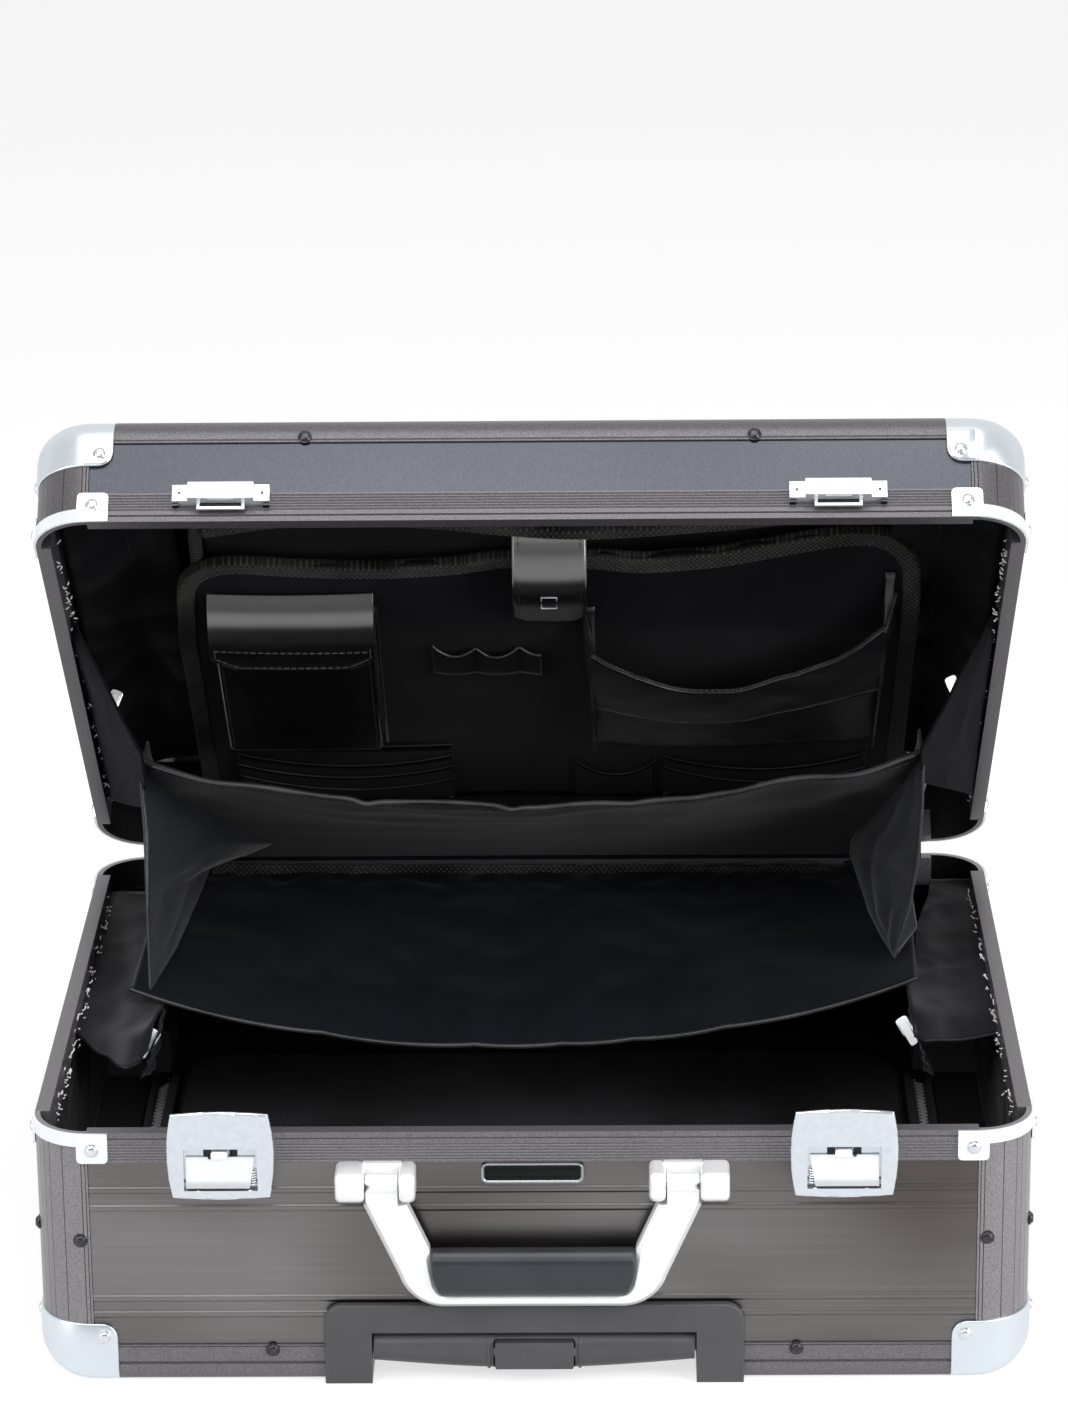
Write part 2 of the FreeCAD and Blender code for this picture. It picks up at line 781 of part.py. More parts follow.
def wheel():
    half = wheel_width / 2
    r = wheel_radius
    inner = r - wheel_rim_width
    dish = half - wheel_dish
    hub = 2 * axle_radius
    bore = axle_radius + running_gap
    def spot(across, radius):
        return vec(wheel_x + across, wheel_y, wheel_level + radius)
    steps = [spot(-half, bore), spot(-half, hub), spot(-dish, hub), spot(-dish, inner), spot(-half, inner),
             spot(-half, r - wheel_crown), (spot(0, r), spot(half, r - wheel_crown)), spot(half, inner),
             spot(dish, inner), spot(dish, hub), spot(half, hub), spot(half, bore)]
    return Part.Face(wire(steps)).revolve(vec(wheel_x, wheel_y, wheel_level), X_AXIS, 360)


def stand_feet():
    x1 = half_width - foot_inset - foot_width
    foot = block(x1, x1 + foot_width, rear_y - panel_recess, wheel_reach, foot_top - foot_height, foot_top)
    tip = [e for e in foot.Edges if e.BoundBox.YMin > wheel_reach - fit_gap]
    foot = foot.makeFillet(rivet_radius, tip)
    return both_sides(foot.cut(base_wall_panels()[0]))


# Lid hinges
hinge_leaf_thickness = 2.0
hinge_leaf_height = 27.0
hinge_web_height = 7.0
knuckle_gap = 0.3
knuckle_shares = (0.0, 0.2, 0.4, 0.6, 0.8, 1.0)


def hinge_leaf(on_base):
    """A wall leaf with its knuckles: three on the base, two on the lid."""
    x1 = hinge_spacing - hinge_length / 2
    away = -1 if on_base else 1
    z_near = base_height if on_base else lid_rim
    z_web = z_near + away * hinge_web_height
    plate = block(x1, x1 + hinge_length, rear_y, rear_y + hinge_leaf_thickness,
                  z_near + away * knuckle_radius / 2, z_near + away * hinge_leaf_height)
    pieces = []
    for index in range(len(knuckle_shares) - 1):
        if (index % 2 == 0) != on_base:
            continue
        a = x1 + knuckle_shares[index] * hinge_length + knuckle_gap / 2
        b = x1 + knuckle_shares[index + 1] * hinge_length - knuckle_gap / 2
        pieces.append(bar_x(a, b, hinge_y, hinge_z, knuckle_radius))
        pieces.append(block(a, b, rear_y, hinge_y, z_near + away * knuckle_radius / 2, z_web))
    leaf = plate.fuse(pieces).removeSplitter()
    radius = hinge_pin_radius if on_base else hinge_pin_radius + running_gap
    bore = bar_x(x1 - overrun, x1 + hinge_length + overrun, hinge_y, hinge_z, radius)
    return both_sides(leaf.cut(bore))


# Latches: a bowed frame on the base, a flap, a sprung hook, and a keeper on the lid
bracket_x1 = 54.4
bracket_x2 = 62.2
bracket_x3 = 78.3
bracket_x4 = 92.0
latch_x = (bracket_x4 + half_width - tab_reach) / 2
latch_half_width = 22.8
latch_bulge = 2.4
latch_low_drop = 29.1
latch_low = base_height - latch_low_drop
latch_high_rise = 13.1
latch_high = base_height + latch_high_rise
latch_arch = 1.2
latch_proud = 9.5
latch_skin = 1.4
latch_edge_round = 1.2
latch_window_half = 17.2
latch_window_low_drop = 25.4
latch_window_low = base_height - latch_window_low_drop
latch_window_high_drop = 4.2
latch_window_high = base_height - latch_window_high_drop
latch_pocket_depth = 3.1
latch_pocket_deep = 4.4
flap_half_width = 15.0
flap_low_drop = 24.7
flap_low = base_height - flap_low_drop
flap_high_drop = 8.9
flap_high = base_height - flap_high_drop
flap_front = 8.6
flap_thickness = 1.8
flap_pin_level_drop = 23.1
flap_pin_level = base_height - flap_pin_level_drop
flap_pin_radius = 0.7
flap_knuckle = 1.4
hook_half_width = 4.3
hook_thickness = 1.2
hook_front = 5.6
hook_low_drop = 21.1
hook_low = base_height - hook_low_drop
hook_nose_low_rise = 7.3
hook_nose_low = base_height + hook_nose_low_rise
hook_nose_high_rise = 8.6
hook_nose_high = base_height + hook_nose_high_rise
hook_nose_reach = 1.8
hook_pin_level_drop = 18.1
hook_pin_level = base_height - hook_pin_level_drop
hook_pin_radius = 0.8
hook_knuckle = 1.5
hook_bay_half = 8.0
hook_rest_angle = 5.0
loop_half_width = 11.3
loop_bar = 1.5
loop_low = 4.8
keeper_half_width = 23.0
hood_half_width = 15.6
hood_low = 8.6
hood_high = 18.4
hood_proud = 7.6
shoulder_proud = 4.5
shoulder_high = 17.0
keeper_skin = 1.2

hook_y = front_y - hook_front + hook_thickness / 2
flap_pin_y = front_y - flap_front + flap_thickness / 2
loop_front = hook_front - hook_thickness - fit_gap * 3
LEFT_LATCH = -latch_x
RIGHT_LATCH = latch_x


def latch_outline(x, y):
    w = latch_half_width
    middle = (latch_low + latch_high) / 2
    return [vec(x - w, y, latch_low), (vec(x - w - latch_bulge, y, middle), vec(x - w, y, latch_high)),
            (vec(x, y, latch_high + latch_arch), vec(x + w, y, latch_high)),
            (vec(x + w + latch_bulge, y, middle), vec(x + w, y, latch_low)),
            (vec(x, y, latch_low - latch_arch), vec(x - w, y, latch_low))]


def latch_frame(x):
    body = prism(latch_outline(x, front_y - latch_proud), vec(0, latch_proud, 0))
    face = [e for e in body.Edges if e.BoundBox.YMax < front_y - latch_proud + fit_gap]
    body = body.makeFillet(latch_edge_round, face)
    pad = block(x - latch_half_width, x + latch_half_width, front_y, front_y + panel_recess,
                latch_low, base_rim_bottom)
    body = body.fuse(pad)
    front = front_y - latch_proud
    wide = latch_half_width + latch_bulge + overrun
    above = block(x - wide, x + wide, front + latch_skin, front_y + overrun, base_height,
                  latch_high + overrun)
    window = block(x - latch_window_half, x + latch_window_half, front - overrun,
                   front + latch_pocket_depth, latch_window_low, latch_window_high)
    deep = block(x - latch_window_half, x + latch_window_half, front - overrun,
                 front + latch_pocket_deep, latch_window_low, flap_pin_level + flap_knuckle * 2)
    bay = block(x - hook_bay_half, x + hook_bay_half, front + latch_skin, front_y - fit_gap,
                hook_low - fit_gap * 3, latch_high + overrun)
    flap_hole = bar_x(x - latch_window_half - flap_knuckle, x + latch_window_half + flap_knuckle,
                      flap_pin_y, flap_pin_level, flap_pin_radius)
    hook_hole = bar_x(x - hook_bay_half - hook_knuckle, x + hook_bay_half + hook_knuckle,
                      hook_y, hook_pin_level, hook_pin_radius)
    return cut_all(body, [above, window, deep, bay, flap_hole, hook_hole, base_front_panel()])


def latch_flap(x):
    y = front_y - flap_front
    plate = block(x - flap_half_width, x + flap_half_width, y, y + flap_thickness,
                  flap_pin_level, flap_high)
    knuckle = bar_x(x - flap_half_width, x + flap_half_width, flap_pin_y, flap_pin_level, flap_knuckle)
    bore = bar_x(x - flap_half_width - overrun, x + flap_half_width + overrun, flap_pin_y,
                 flap_pin_level, flap_pin_radius + running_gap)
    return plate.fuse(knuckle).removeSplitter().cut(bore)


def latch_hook(x):
    y = front_y - hook_front
    w = hook_half_width
    plate = block(x - w, x + w, y, y + hook_thickness, hook_low, hook_nose_high)
    nose = block(x - w, x + w, y, y + hook_thickness + hook_nose_reach, hook_nose_low, hook_nose_high)
    knuckle = bar_x(x - w, x + w, hook_y, hook_pin_level, hook_knuckle)
    bore = bar_x(x - w - overrun, x + w + overrun, hook_y, hook_pin_level, hook_pin_radius + running_gap)
    hook = plate.fuse([nose, knuckle]).removeSplitter().cut(bore)
    hook.rotate(vec(x, hook_y, hook_pin_level), X_AXIS, hook_rest_angle)
    return hook


def keeper(x):
    y = front_y
    hood = block(x - hood_half_width, x + hood_half_width, y - hood_proud, y - keeper_skin,
                 lid_rim + hood_low, lid_rim + hood_high)
    top = [e for e in hood.Edges if e.BoundBox.YMax < y - hood_proud + fit_gap
           and e.BoundBox.ZMin > lid_rim + hood_low + fit_gap]
    hood = hood.makeFillet(hood_proud / 3, top)
    shoulder = block(x - keeper_half_width, x + keeper_half_width, y - shoulder_proud, y - keeper_skin,
                     lid_rim + hood_low, lid_rim + shoulder_high)
    plate = block(x - keeper_half_width, x + keeper_half_width, y - keeper_skin, y,
                  lid_rim + hood_low, lid_rim + shoulder_high)
    above = block(x - keeper_half_width, x + keeper_half_width, y - overrun, y + panel_recess,
                  lid_rim_top, lid_rim + shoulder_high)
    body = hood.fuse([shoulder, plate, above]).removeSplitter()
    return body.cut(lid_wall_panels()[0])


def keeper_loop(x):
    y1 = front_y - loop_front
    y2 = y1 + loop_bar
    z1 = lid_rim + loop_low
    z2 = lid_rim + hood_low
    frame = block(x - loop_half_width, x + loop_half_width, y1, y2, z1, z2)
    gap = block(x - loop_half_width + loop_bar, x + loop_half_width - loop_bar, y1 - overrun,
                y2 + overrun, z1 + loop_bar, z2 + overrun)
    return frame.cut(gap)


# Carrying handle: two brackets, and a bail that hangs between them
bracket_low_drop = 29.7
bracket_low = base_height - bracket_low_drop
bracket_high_drop = 14.5
bracket_high = base_height - bracket_high_drop
bracket_proud = 17.0
bracket_back = 3.0
bracket_round = 2.0
bracket_nose_round = 4.6
bail_pivot_reach = 9.5
bail_pivot_y = front_y - bail_pivot_reach
bail_pivot_z_drop = 22.1
bail_pivot_z = base_height - bail_pivot_z_drop
bail_pin_radius = 2.5
bail_eye_radius = 5.4
bail_front = 14.0
bail_back = 5.0
bail_side_gap = 0.5
bail_bevel = 2.4
shoulder_drop = 9.6
neck_drop = 9.2
neck_z = bail_pivot_z - neck_drop
arm_shoulder = bail_pivot_z - shoulder_drop
arm_outer_x = 79.0
arm_inner_x = 58.6
elbow_outer_x = 62.6
elbow_mid_x = 55.0
bar_outer_x = 41.0
bar_bezel_gap = 3.4
bar_thickness = 6.9
elbow_rise = 15.5
elbow_mid_rise = 4.5
bar_bottom = bezel_height + bar_bezel_gap
bar_top = bar_bottom + bar_thickness
elbow_outer_z = bar_bottom + elbow_rise
elbow_mid_z = bar_bottom + elbow_mid_rise
elbow_inner_x = 48.6
elbow_inner_rise = 22.9
elbow_inner_z = bar_top + elbow_inner_rise
crook_x = 45.6
crook_rise = 6.2
crook_z = bar_top + crook_rise
crook_mid_x = 43.0
crook_mid_rise = 1.8
crook_mid_z = bar_top + crook_mid_rise
bar_inner_x = 38.0
grip_rubber_x = 48.0
grip_rubber_low = bar_top
grip_rubber_height = 21.8
grip_rubber_high = grip_rubber_low + grip_rubber_height
grip_rubber_front = 16.5
grip_rubber_back = 2.6
grip_rubber_round = 5.0


def bail_bracket():
    y = front_y - bracket_proud
    outer = block(bracket_x3, bracket_x4, y, front_y, bracket_low, bracket_high)
    inner = block(bracket_x1, bracket_x2, y, front_y, bracket_low, bracket_high)
    blocks = []
    for shape in (outer, inner):
        nose = [e for e in shape.Edges if e.BoundBox.YMax < y + fit_gap
                and e.BoundBox.ZMax < bracket_low + fit_gap]
        shape = shape.makeFillet(bracket_nose_round, nose)
        edges = [e for e in shape.Edges if e.BoundBox.YMax < y + fit_gap
                 and e.BoundBox.ZMax > bracket_high - fit_gap]
        blocks.append(shape.makeFillet(bracket_round, edges))
    web = block(bracket_x2, bracket_x3, front_y - bracket_back, front_y, bracket_low, bracket_high)
    pad = block(bracket_x1, bracket_x4, front_y, front_y + panel_recess, bracket_low, base_rim_bottom)
    body = blocks[0].fuse([blocks[1], web, pad]).removeSplitter()
    hole = bar_x(bracket_x1 + bracket_round, bracket_x4 - bracket_round, bail_pivot_y, bail_pivot_z,
                 bail_pin_radius)
    return cut_all(body, [hole, base_front_panel()])


def bail_frame():
    y = front_y - bail_front
    eye_in = bracket_x2 + bail_side_gap
    eye_out = bracket_x3 - bail_side_gap
    def p(x, z):
        return vec(x, y, z)
    left = [p(-eye_out, bail_pivot_z), p(-eye_out, neck_z), p(-arm_outer_x, arm_shoulder),
            p(-elbow_outer_x, elbow_outer_z),
            (p(-elbow_mid_x, elbow_mid_z), p(-bar_outer_x, bar_bottom))]
    right = [p(bar_outer_x, bar_bottom), (p(elbow_mid_x, elbow_mid_z), p(elbow_outer_x, elbow_outer_z)),
             p(arm_outer_x, arm_shoulder), p(eye_out, neck_z), p(eye_out, bail_pivot_z),
             p(eye_in, bail_pivot_z), p(eye_in, neck_z), p(arm_inner_x, arm_shoulder),
             p(elbow_inner_x, elbow_inner_z), p(crook_x, crook_z),
             (p(crook_mid_x, crook_mid_z), p(bar_inner_x, bar_top))]
    back = [p(-bar_inner_x, bar_top), (p(-crook_mid_x, crook_mid_z), p(-crook_x, crook_z)),
            p(-elbow_inner_x, elbow_inner_z), p(-arm_inner_x, arm_shoulder),
            p(-eye_in, neck_z), p(-eye_in, bail_pivot_z)]
    body = prism(left + right + back, vec(0, bail_front - bail_back, 0))
    face = [e for e in body.Edges if e.BoundBox.YMax < y + fit_gap
            and e.BoundBox.ZMax < arm_shoulder + fit_gap]
    body = body.makeChamfer(bail_bevel, face)
    eyes = both_sides(bar_x(eye_in, eye_out, bail_pivot_y, bail_pivot_z, bail_eye_radius))
    bore = bar_x(-bracket_x4, bracket_x4, bail_pivot_y, bail_pivot_z, bail_pin_radius + running_gap)
    return body.fuse(eyes).removeSplitter().cut(bore)


def bail_grip():
    y1 = front_y - grip_rubber_front
    y2 = front_y - grip_rubber_back
    body = block(-grip_rubber_x, grip_rubber_x, y1, y2, grip_rubber_low, grip_rubber_high)
    long_edges = [e for e in body.Edges if e.BoundBox.XLength > grip_rubber_x]
    body = body.makeFillet(grip_rubber_round, long_edges)
    return body.cut(bail_frame())


# Bare name plate between the handle's brackets
plate_half_width = 24.0
plate_low_drop = 25.5
plate_low = base_height - plate_low_drop
plate_proud = 2.0


def name_plate():
    body = block(-plate_half_width, plate_half_width, front_y - plate_proud, front_y + panel_recess,
                 plate_low, base_rim_bottom)
    edges = [e for e in body.Edges if e.BoundBox.YMax < front_y - plate_proud + fit_gap]
    return body.makeFillet(plate_proud / 3, edges).cut(base_front_panel())


def pivot_pins():
    """Every pin that is fixed in the base: hinge, handle, latch and wheel pins."""
    x1 = hinge_spacing - hinge_length / 2
    pins = both_sides(bar_x(x1, x1 + hinge_length, hinge_y, hinge_z, hinge_pin_radius))
    pins += both_sides(bar_x(bracket_x1 + bracket_round, bracket_x4 - bracket_round, bail_pivot_y,
                             bail_pivot_z, bail_pin_radius))
    reach = latch_window_half + flap_knuckle
    pins += both_sides(bar_x(latch_x - reach, latch_x + reach, flap_pin_y, flap_pin_level,
                             flap_pin_radius))
    reach = hook_bay_half + hook_knuckle
    pins += both_sides(bar_x(latch_x - reach, latch_x + reach, hook_y, hook_pin_level, hook_pin_radius))
    x_end = half_width + fitting_proud - ball_width
    reach = wheel_x + wheel_width / 2 + wheel_rim_width / 2
    pins += both_sides(bar_x(x_end, reach, wheel_y, wheel_level, axle_radius))
    return pins


# Fabric document pocket hung in a V from the hinge line: two leaves and two side gussets
fabric_thickness = 1.6
fold_gap = 9.0
fold_y = rear_y - fold_gap
fold_z_rise = 3.9
fold_z = base_height + fold_z_rise
lower_root_y = rear_y - rim_depth
lower_root_drop = 2.0
lower_root_z = base_height - lower_root_drop
leaf_left_gap = 31.0
leaf_right_gap = 44.0
root_left_gap = 35.0
root_right_gap = 39.0
leaf_left_x = leaf_left_gap - half_width
leaf_right_x = half_width - leaf_right_gap
leaf_root_left_x = root_left_gap - half_width
leaf_root_right_x = half_width - root_right_gap
lower_left_reach = 171.0
lower_right_reach = 161.0
lower_mid_reach = 184.0
lower_tip_drop = 4.8
lower_mid_drop = 32.6
upper_left_reach = 133.0
upper_right_reach = 129.0
upper_mid_reach = 154.0
upper_left_rise = 104.2
upper_right_rise = 105.2
upper_mid_rise = 80.2
upper_right_gap = 35.4
upper_right_x = half_width - upper_right_gap
leaf_mid_x = -12.0


def leaf(front, root_y, root_z, thickness):
    """A sheet from a straight root at the hinge to a bowed front edge through three points."""
    left, middle, right = front
    root = Part.LineSegment(vec(leaf_root_left_x, root_y, root_z), vec(leaf_root_right_x, root_y, root_z))
    edge = Part.Arc(left, middle, right)
    return Part.makeRuledSurface(root.toShape(), edge.toShape()).extrude(vec(0, 0, thickness))


def lower_leaf_points():
    left = vec(leaf_left_x, fold_y - lower_left_reach, fold_z - lower_tip_drop)
    right = vec(leaf_right_x, fold_y - lower_right_reach, fold_z - lower_tip_drop)
    middle = vec(leaf_mid_x, fold_y - lower_mid_reach, fold_z - lower_mid_drop)
    return left, middle, right


def upper_leaf_points():
    left = vec(leaf_left_x, fold_y - upper_left_reach, fold_z + upper_left_rise)
    right = vec(upper_right_x, fold_y - upper_right_reach, fold_z + upper_right_rise)
    middle = vec(leaf_mid_x, fold_y - upper_mid_reach, fold_z + upper_mid_rise)
    return left, middle, right


def bellows_lower_leaf():
    return leaf(lower_leaf_points(), lower_root_y, lower_root_z, fabric_thickness)


def bellows_upper_leaf():
    return leaf(upper_leaf_points(), fold_y, fold_z, fabric_thickness)


gusset_inset = 5.0
gusset_fold_in = 58.0
gusset_fold_reach_share = 0.34
gusset_fold_rise_share = 0.30
gusset_root_reach = 12.0
gusset_clear = 0.6
gusset_cut_depth = 12.0


def sheet_triangle(a, b, c, shift):
    return prism([a, b, c], shift)


def gusset(side):
    """One side gusset, creased inwards along a line from the fold to its front edge."""
    low_left, _, low_right = lower_leaf_points()
    up_left, _, up_right = upper_leaf_points()
    low = low_left if side < 0 else low_right
    top = up_left if side < 0 else up_right
    x = (low.x + top.x) / 2 - side * gusset_inset
    root = vec(x, fold_y - gusset_root_reach, fold_z)
    bottom = vec(x, low.y, low.z)
    above = vec(x, top.y, top.z)
    crease = vec(x - side * gusset_fold_in, fold_y + (low.y - fold_y) * gusset_fold_reach_share,
                 fold_z + (top.z - fold_z) * gusset_fold_rise_share)
    shift = vec(-side * fabric_thickness, 0, 0)
    body = sheet_triangle(above, crease, root, shift)
    body = body.fuse([sheet_triangle(above, bottom, crease, shift),
                      sheet_triangle(bottom, root, crease, shift)])
    over = leaf(upper_leaf_points(), fold_y, fold_z, gusset_cut_depth)
    over.translate(vec(0, 0, -gusset_clear))
    under = leaf(lower_leaf_points(), lower_root_y, lower_root_z, gusset_cut_depth)
    under.translate(vec(0, 0, fabric_thickness - gusset_cut_depth))
    pieces = body.cut(over).cut(under).Solids
    return max(pieces, key=lambda solid: solid.Volume)


# Side flaps between the pocket's corners and the case walls, with their zips
base_flap_level_drop = 10.1
base_flap_level = base_height - base_flap_level_drop
base_flap_rear_gap = 28.0
base_flap_front_reach = 140.0
base_flap_nose_reach = 112.0
base_flap_width = 28.0
base_flap_tongue = 11.0
base_flap_rear_y = rear_y - base_flap_rear_gap
base_flap_front_y = front_y + base_flap_front_reach
base_flap_nose_y = front_y + base_flap_nose_reach
base_flap_inner_x = half_width - base_flap_width
base_flap_tongue_x = base_flap_inner_x - base_flap_tongue
lid_flap_rear_u = 72.0
lid_flap_front_u = 285.0
lid_flap_wall_drop = 4.0
lid_flap_tip_clear = 3.5


def base_side_flap(side):
    z = base_flap_level
    wall = half_width - rim_depth
    y_tongue = base_flap_nose_y + (base_flap_front_y - base_flap_nose_y) / 2
    points = [(wall, base_flap_rear_y), (wall, base_flap_front_y), (base_flap_inner_x, base_flap_nose_y),
              (base_flap_tongue_x, y_tongue), (base_flap_inner_x, base_flap_rear_y)]
    return prism([vec(side * x, y, z) for x, y in points], vec(0, 0, fabric_thickness))


def closed_to_open(point):
    """Where a point of the shut lid lies once the lid is open."""
    turn = FreeCAD.Rotation(X_AXIS, -lid_open_angle)
    return HINGE_POINT + turn.multVec(point - HINGE_POINT)


def lid_side_flap(side):
    """A three-cornered sheet from the lid's side wall to the upper leaf's corner."""
    wall = half_width - rim_depth - lid_flap_wall_drop / 2
    rear = closed_to_open(vec(side * wall, rear_y - lid_flap_rear_u, lid_rim + lid_flap_wall_drop))
    front = closed_to_open(vec(side * wall, rear_y - lid_flap_front_u, lid_rim + lid_flap_wall_drop))
    left, _, right = upper_leaf_points()
    tip = left if side < 0 else right
    tip = vec(tip.x + side * lid_flap_tip_clear, tip.y, tip.z)
    return sheet_triangle(rear, front, tip, vec(side * fabric_thickness, 0, 0))


zip_width = 5.0
zip_thickness = 1.6
base_zip_inset = 36.0
base_zip_length = 106.0
base_zip_housing_gap = 3.0
base_zip_x = half_width - base_zip_inset
base_zip_front_y = rear_y - housing_length - base_zip_housing_gap - base_zip_length
slider_length = 10.0
slider_width = 8.0
slider_height = 4.2
slider_clear = 0.3


def base_zip_chain(side):
    x = side * base_zip_x
    return block(x - zip_width / 2, x + zip_width / 2, base_zip_front_y,
                 base_zip_front_y + base_zip_length, floor_top, floor_top + zip_thickness)


def base_zip_slider(side):
    x = side * base_zip_x
    y2 = base_zip_front_y + base_zip_length
    z1 = floor_top + slider_clear
    body = block(x - slider_width / 2, x + slider_width / 2, y2 - slider_length, y2, z1,
                 floor_top + slider_height)
    slot = block(x - zip_width / 2 - slider_clear, x + zip_width / 2 + slider_clear,
                 y2 - slider_length - overrun, y2 + overrun, z1 - overrun,
                 floor_top + zip_thickness + slider_clear)
    return body.cut(slot)


# Organiser panel in the lid, with its pockets. Places are given from the rear face
# (reach) and from the rim plane upwards (depth).
organiser_face = 25.0
organiser_thickness = 7.0
organiser_left_gap = 67.0
organiser_right_gap = 47.0
organiser_left = organiser_left_gap - half_width
organiser_right = half_width - organiser_right_gap
organiser_rear = lining_back
organiser_front_left = 264.0
organiser_front_right = 284.0
organiser_round = 26.0
organiser_root_depth = 46.0


def lid_point(x, reach, depth):
    return vec(x, rear_y - reach, lid_rim + depth)


def lid_block(x1, x2, reach1, reach2, depth1, depth2):
    return block(x1, x2, rear_y - reach1, rear_y - reach2, lid_rim + depth1, lid_rim + depth2)


def organiser_panel():
    r = organiser_round
    lean = r * (1 - math.sqrt(0.5))
    left, right = organiser_left, organiser_right
    a, b = organiser_front_left, organiser_front_right
    def p(x, reach):
        return lid_point(x, reach, organiser_face)
    steps = [p(left, organiser_rear), p(left, a - r), (p(left + lean, a - lean), p(left + r, a)),
             p(right - r, b), (p(right - lean, b - lean), p(right, b - r)), p(right, organiser_rear)]
    panel = prism(steps, vec(0, 0, organiser_thickness))
    root = lid_block(left, right, organiser_rear, organiser_rear + organiser_thickness,
                     organiser_face, organiser_root_depth)
    return panel.fuse(root).removeSplitter()


strap_left = -12.0
strap_right = 26.3
strap_end = 211.0
strap_thickness = 2.0
strap_chamfer = 8.0


def organiser_strap():
    depth2 = organiser_face - fit_gap
    depth1 = depth2 - strap_thickness
    far = case_depth - lining_back
    def p(x, reach):
        return lid_point(x, reach, depth1)
    steps = [p(strap_left, far), p(strap_right, far), p(strap_right, strap_end + strap_chamfer),
             p(strap_right - strap_chamfer, strap_end), p(strap_left + strap_chamfer, strap_end),
             p(strap_left, strap_end + strap_chamfer)]
    return prism(steps, vec(0, 0, strap_thickness))


phone_inset = 8.0
phone_width = 80.0
phone_left = organiser_left + phone_inset
phone_right = phone_left + phone_width
phone_low = 83.0
phone_high = 214.0
phone_depth = 9.6
flap_over = 4.0
flap_free_end = 160.0
flap_bend_gap = 8.0
flap_bend_reach = 14.0
flap_bend = phone_high + flap_bend_gap
flap_root = flap_bend + flap_bend_reach
phone_flap_thickness = 1.8


def phone_pocket():
    t = document_skin
    front = organiser_face - fit_gap - phone_depth
    body = lid_block(phone_left, phone_right, phone_low, phone_high, front, organiser_face)
    room = lid_block(phone_left + t, phone_right - t, phone_low + t, phone_high + overrun, front + t,
                     organiser_face + overrun)
    return body.cut(room)


def phone_flap():
    over = organiser_face - fit_gap - phone_depth - fit_gap
    t = phone_flap_thickness
    x = phone_left - flap_over / 2
    root = organiser_face - fit_gap
    def p(reach, depth):
        return lid_point(x, reach, depth)
    steps = [p(flap_root, root), p(flap_root, root - t), p(flap_bend + t, over - t),
             p(flap_free_end, over - t), p(flap_free_end, over), p(flap_bend, over),
             p(flap_root - t, root)]
    return prism(steps, vec(phone_right - phone_left + flap_over, 0, 0))


document_left = 28.0
document_inset = 13.0
document_right = organiser_right - document_inset
document_low = 68.0
document_high = 204.0
document_gusset_high = 224.0
document_mouth_depth = 8.0
document_skin = 1.6


def document_pocket():
    face = organiser_face
    t = document_skin
    def p(x, reach, depth):
        return lid_point(x, reach, depth)
    x1, x2 = document_left, document_right
    front = [p(x1, document_low, face), p(x1, document_low, face - t),
             p(x1, document_high, document_mouth_depth), p(x1, document_high, document_mouth_depth + t),
             p(x1, document_low + 3 * t, face)]
    wall = prism(front, vec(x2 - x1, 0, 0))
    side = [p(x1, document_low, face), p(x1, document_high, document_mouth_depth),
            p(x1, document_gusset_high, face)]
    left = prism(side, vec(t, 0, 0))
    right = left.copy()
    right.translate(vec(x2 - x1 - t, 0, 0))
    return wall.fuse([left, right]).removeSplitter()


slot_count = 4
slot_rise = 1.0
slot_inset = 10.0
slot_left_width = 110.0
slot_right_start = 19.0
slot_left_start = organiser_left + slot_inset
slot_sets = ((slot_left_start, slot_left_start + slot_left_width), (slot_right_start, document_right))
slot_low = 8.0
slot_high = 77.0
slot_top_margin = 12.0
loops_gap = 28.0
loops_left = phone_right + loops_gap
loops_right = 3.0
loops_low = 145.0
loops_high = 180.0
loops_depth = 3.0


def card_slots():
    """Two stacks of overlapping card slots and the folded row of pen loops."""
    face = organiser_face
    pitch = slot_top_margin
    stacks = []
    for x1, x2 in slot_sets:
        stack = None
        for index in range(slot_count):
            top = min(slot_high, document_low - fit_gap) if x1 > 0 else slot_high
            layer = lid_block(x1, x2, slot_low, top - index * pitch, face - (index + 1) * slot_rise,
                              face - index * slot_rise)
            stack = layer if stack is None else stack.fuse(layer)
        stacks.append(stack.removeSplitter())
    loops = lid_block(loops_left, loops_right, loops_low, loops_high, face - loops_depth, face)
    return stacks + [loops]


# Writes every node
nodes = {}
os.makedirs("parts", exist_ok=True)

save("base_front_panel", base_front_panel())
save("base_wall_panels", base_wall_panels())
save("base_bottom_panel", base_bottom_panel())
save("base_edge_rails", base_edge_rails())
save("base_corner_columns", base_corner_columns())
save("base_ball_corners", base_ball_corners())
save("base_rim_brackets", base_rim_brackets())
save("base_rivets", base_rivets())
save("base_wall_lining", base_wall_lining())
save("base_floor_panel", base_floor_panel())
save("trolley_bezel", trolley_bezel())
save("trolley_outer_tubes", trolley_outer_tubes())
save("trolley_tube_mounts", trolley_tube_mounts())
save("trolley_middle_tubes", trolley_middle_tubes())
save("trolley_inner_tubes", trolley_inner_tubes())
save("trolley_grip", trolley_grip())
save("release_button", release_button())
save("release_rods", release_rods())
save("button_springs", button_springs())
save("wheel_housings", wheel_housings())
save("left_wheel", mirror_x(wheel()))
save("right_wheel", wheel())
save("stand_feet", stand_feet())
save("hinge_base_leaves", hinge_leaf(True))
save("pivot_pins", pivot_pins())
save("latch_frames", [latch_frame(LEFT_LATCH), latch_frame(RIGHT_LATCH)])
save("left_latch_flap", latch_flap(LEFT_LATCH))
save("right_latch_flap", latch_flap(RIGHT_LATCH))
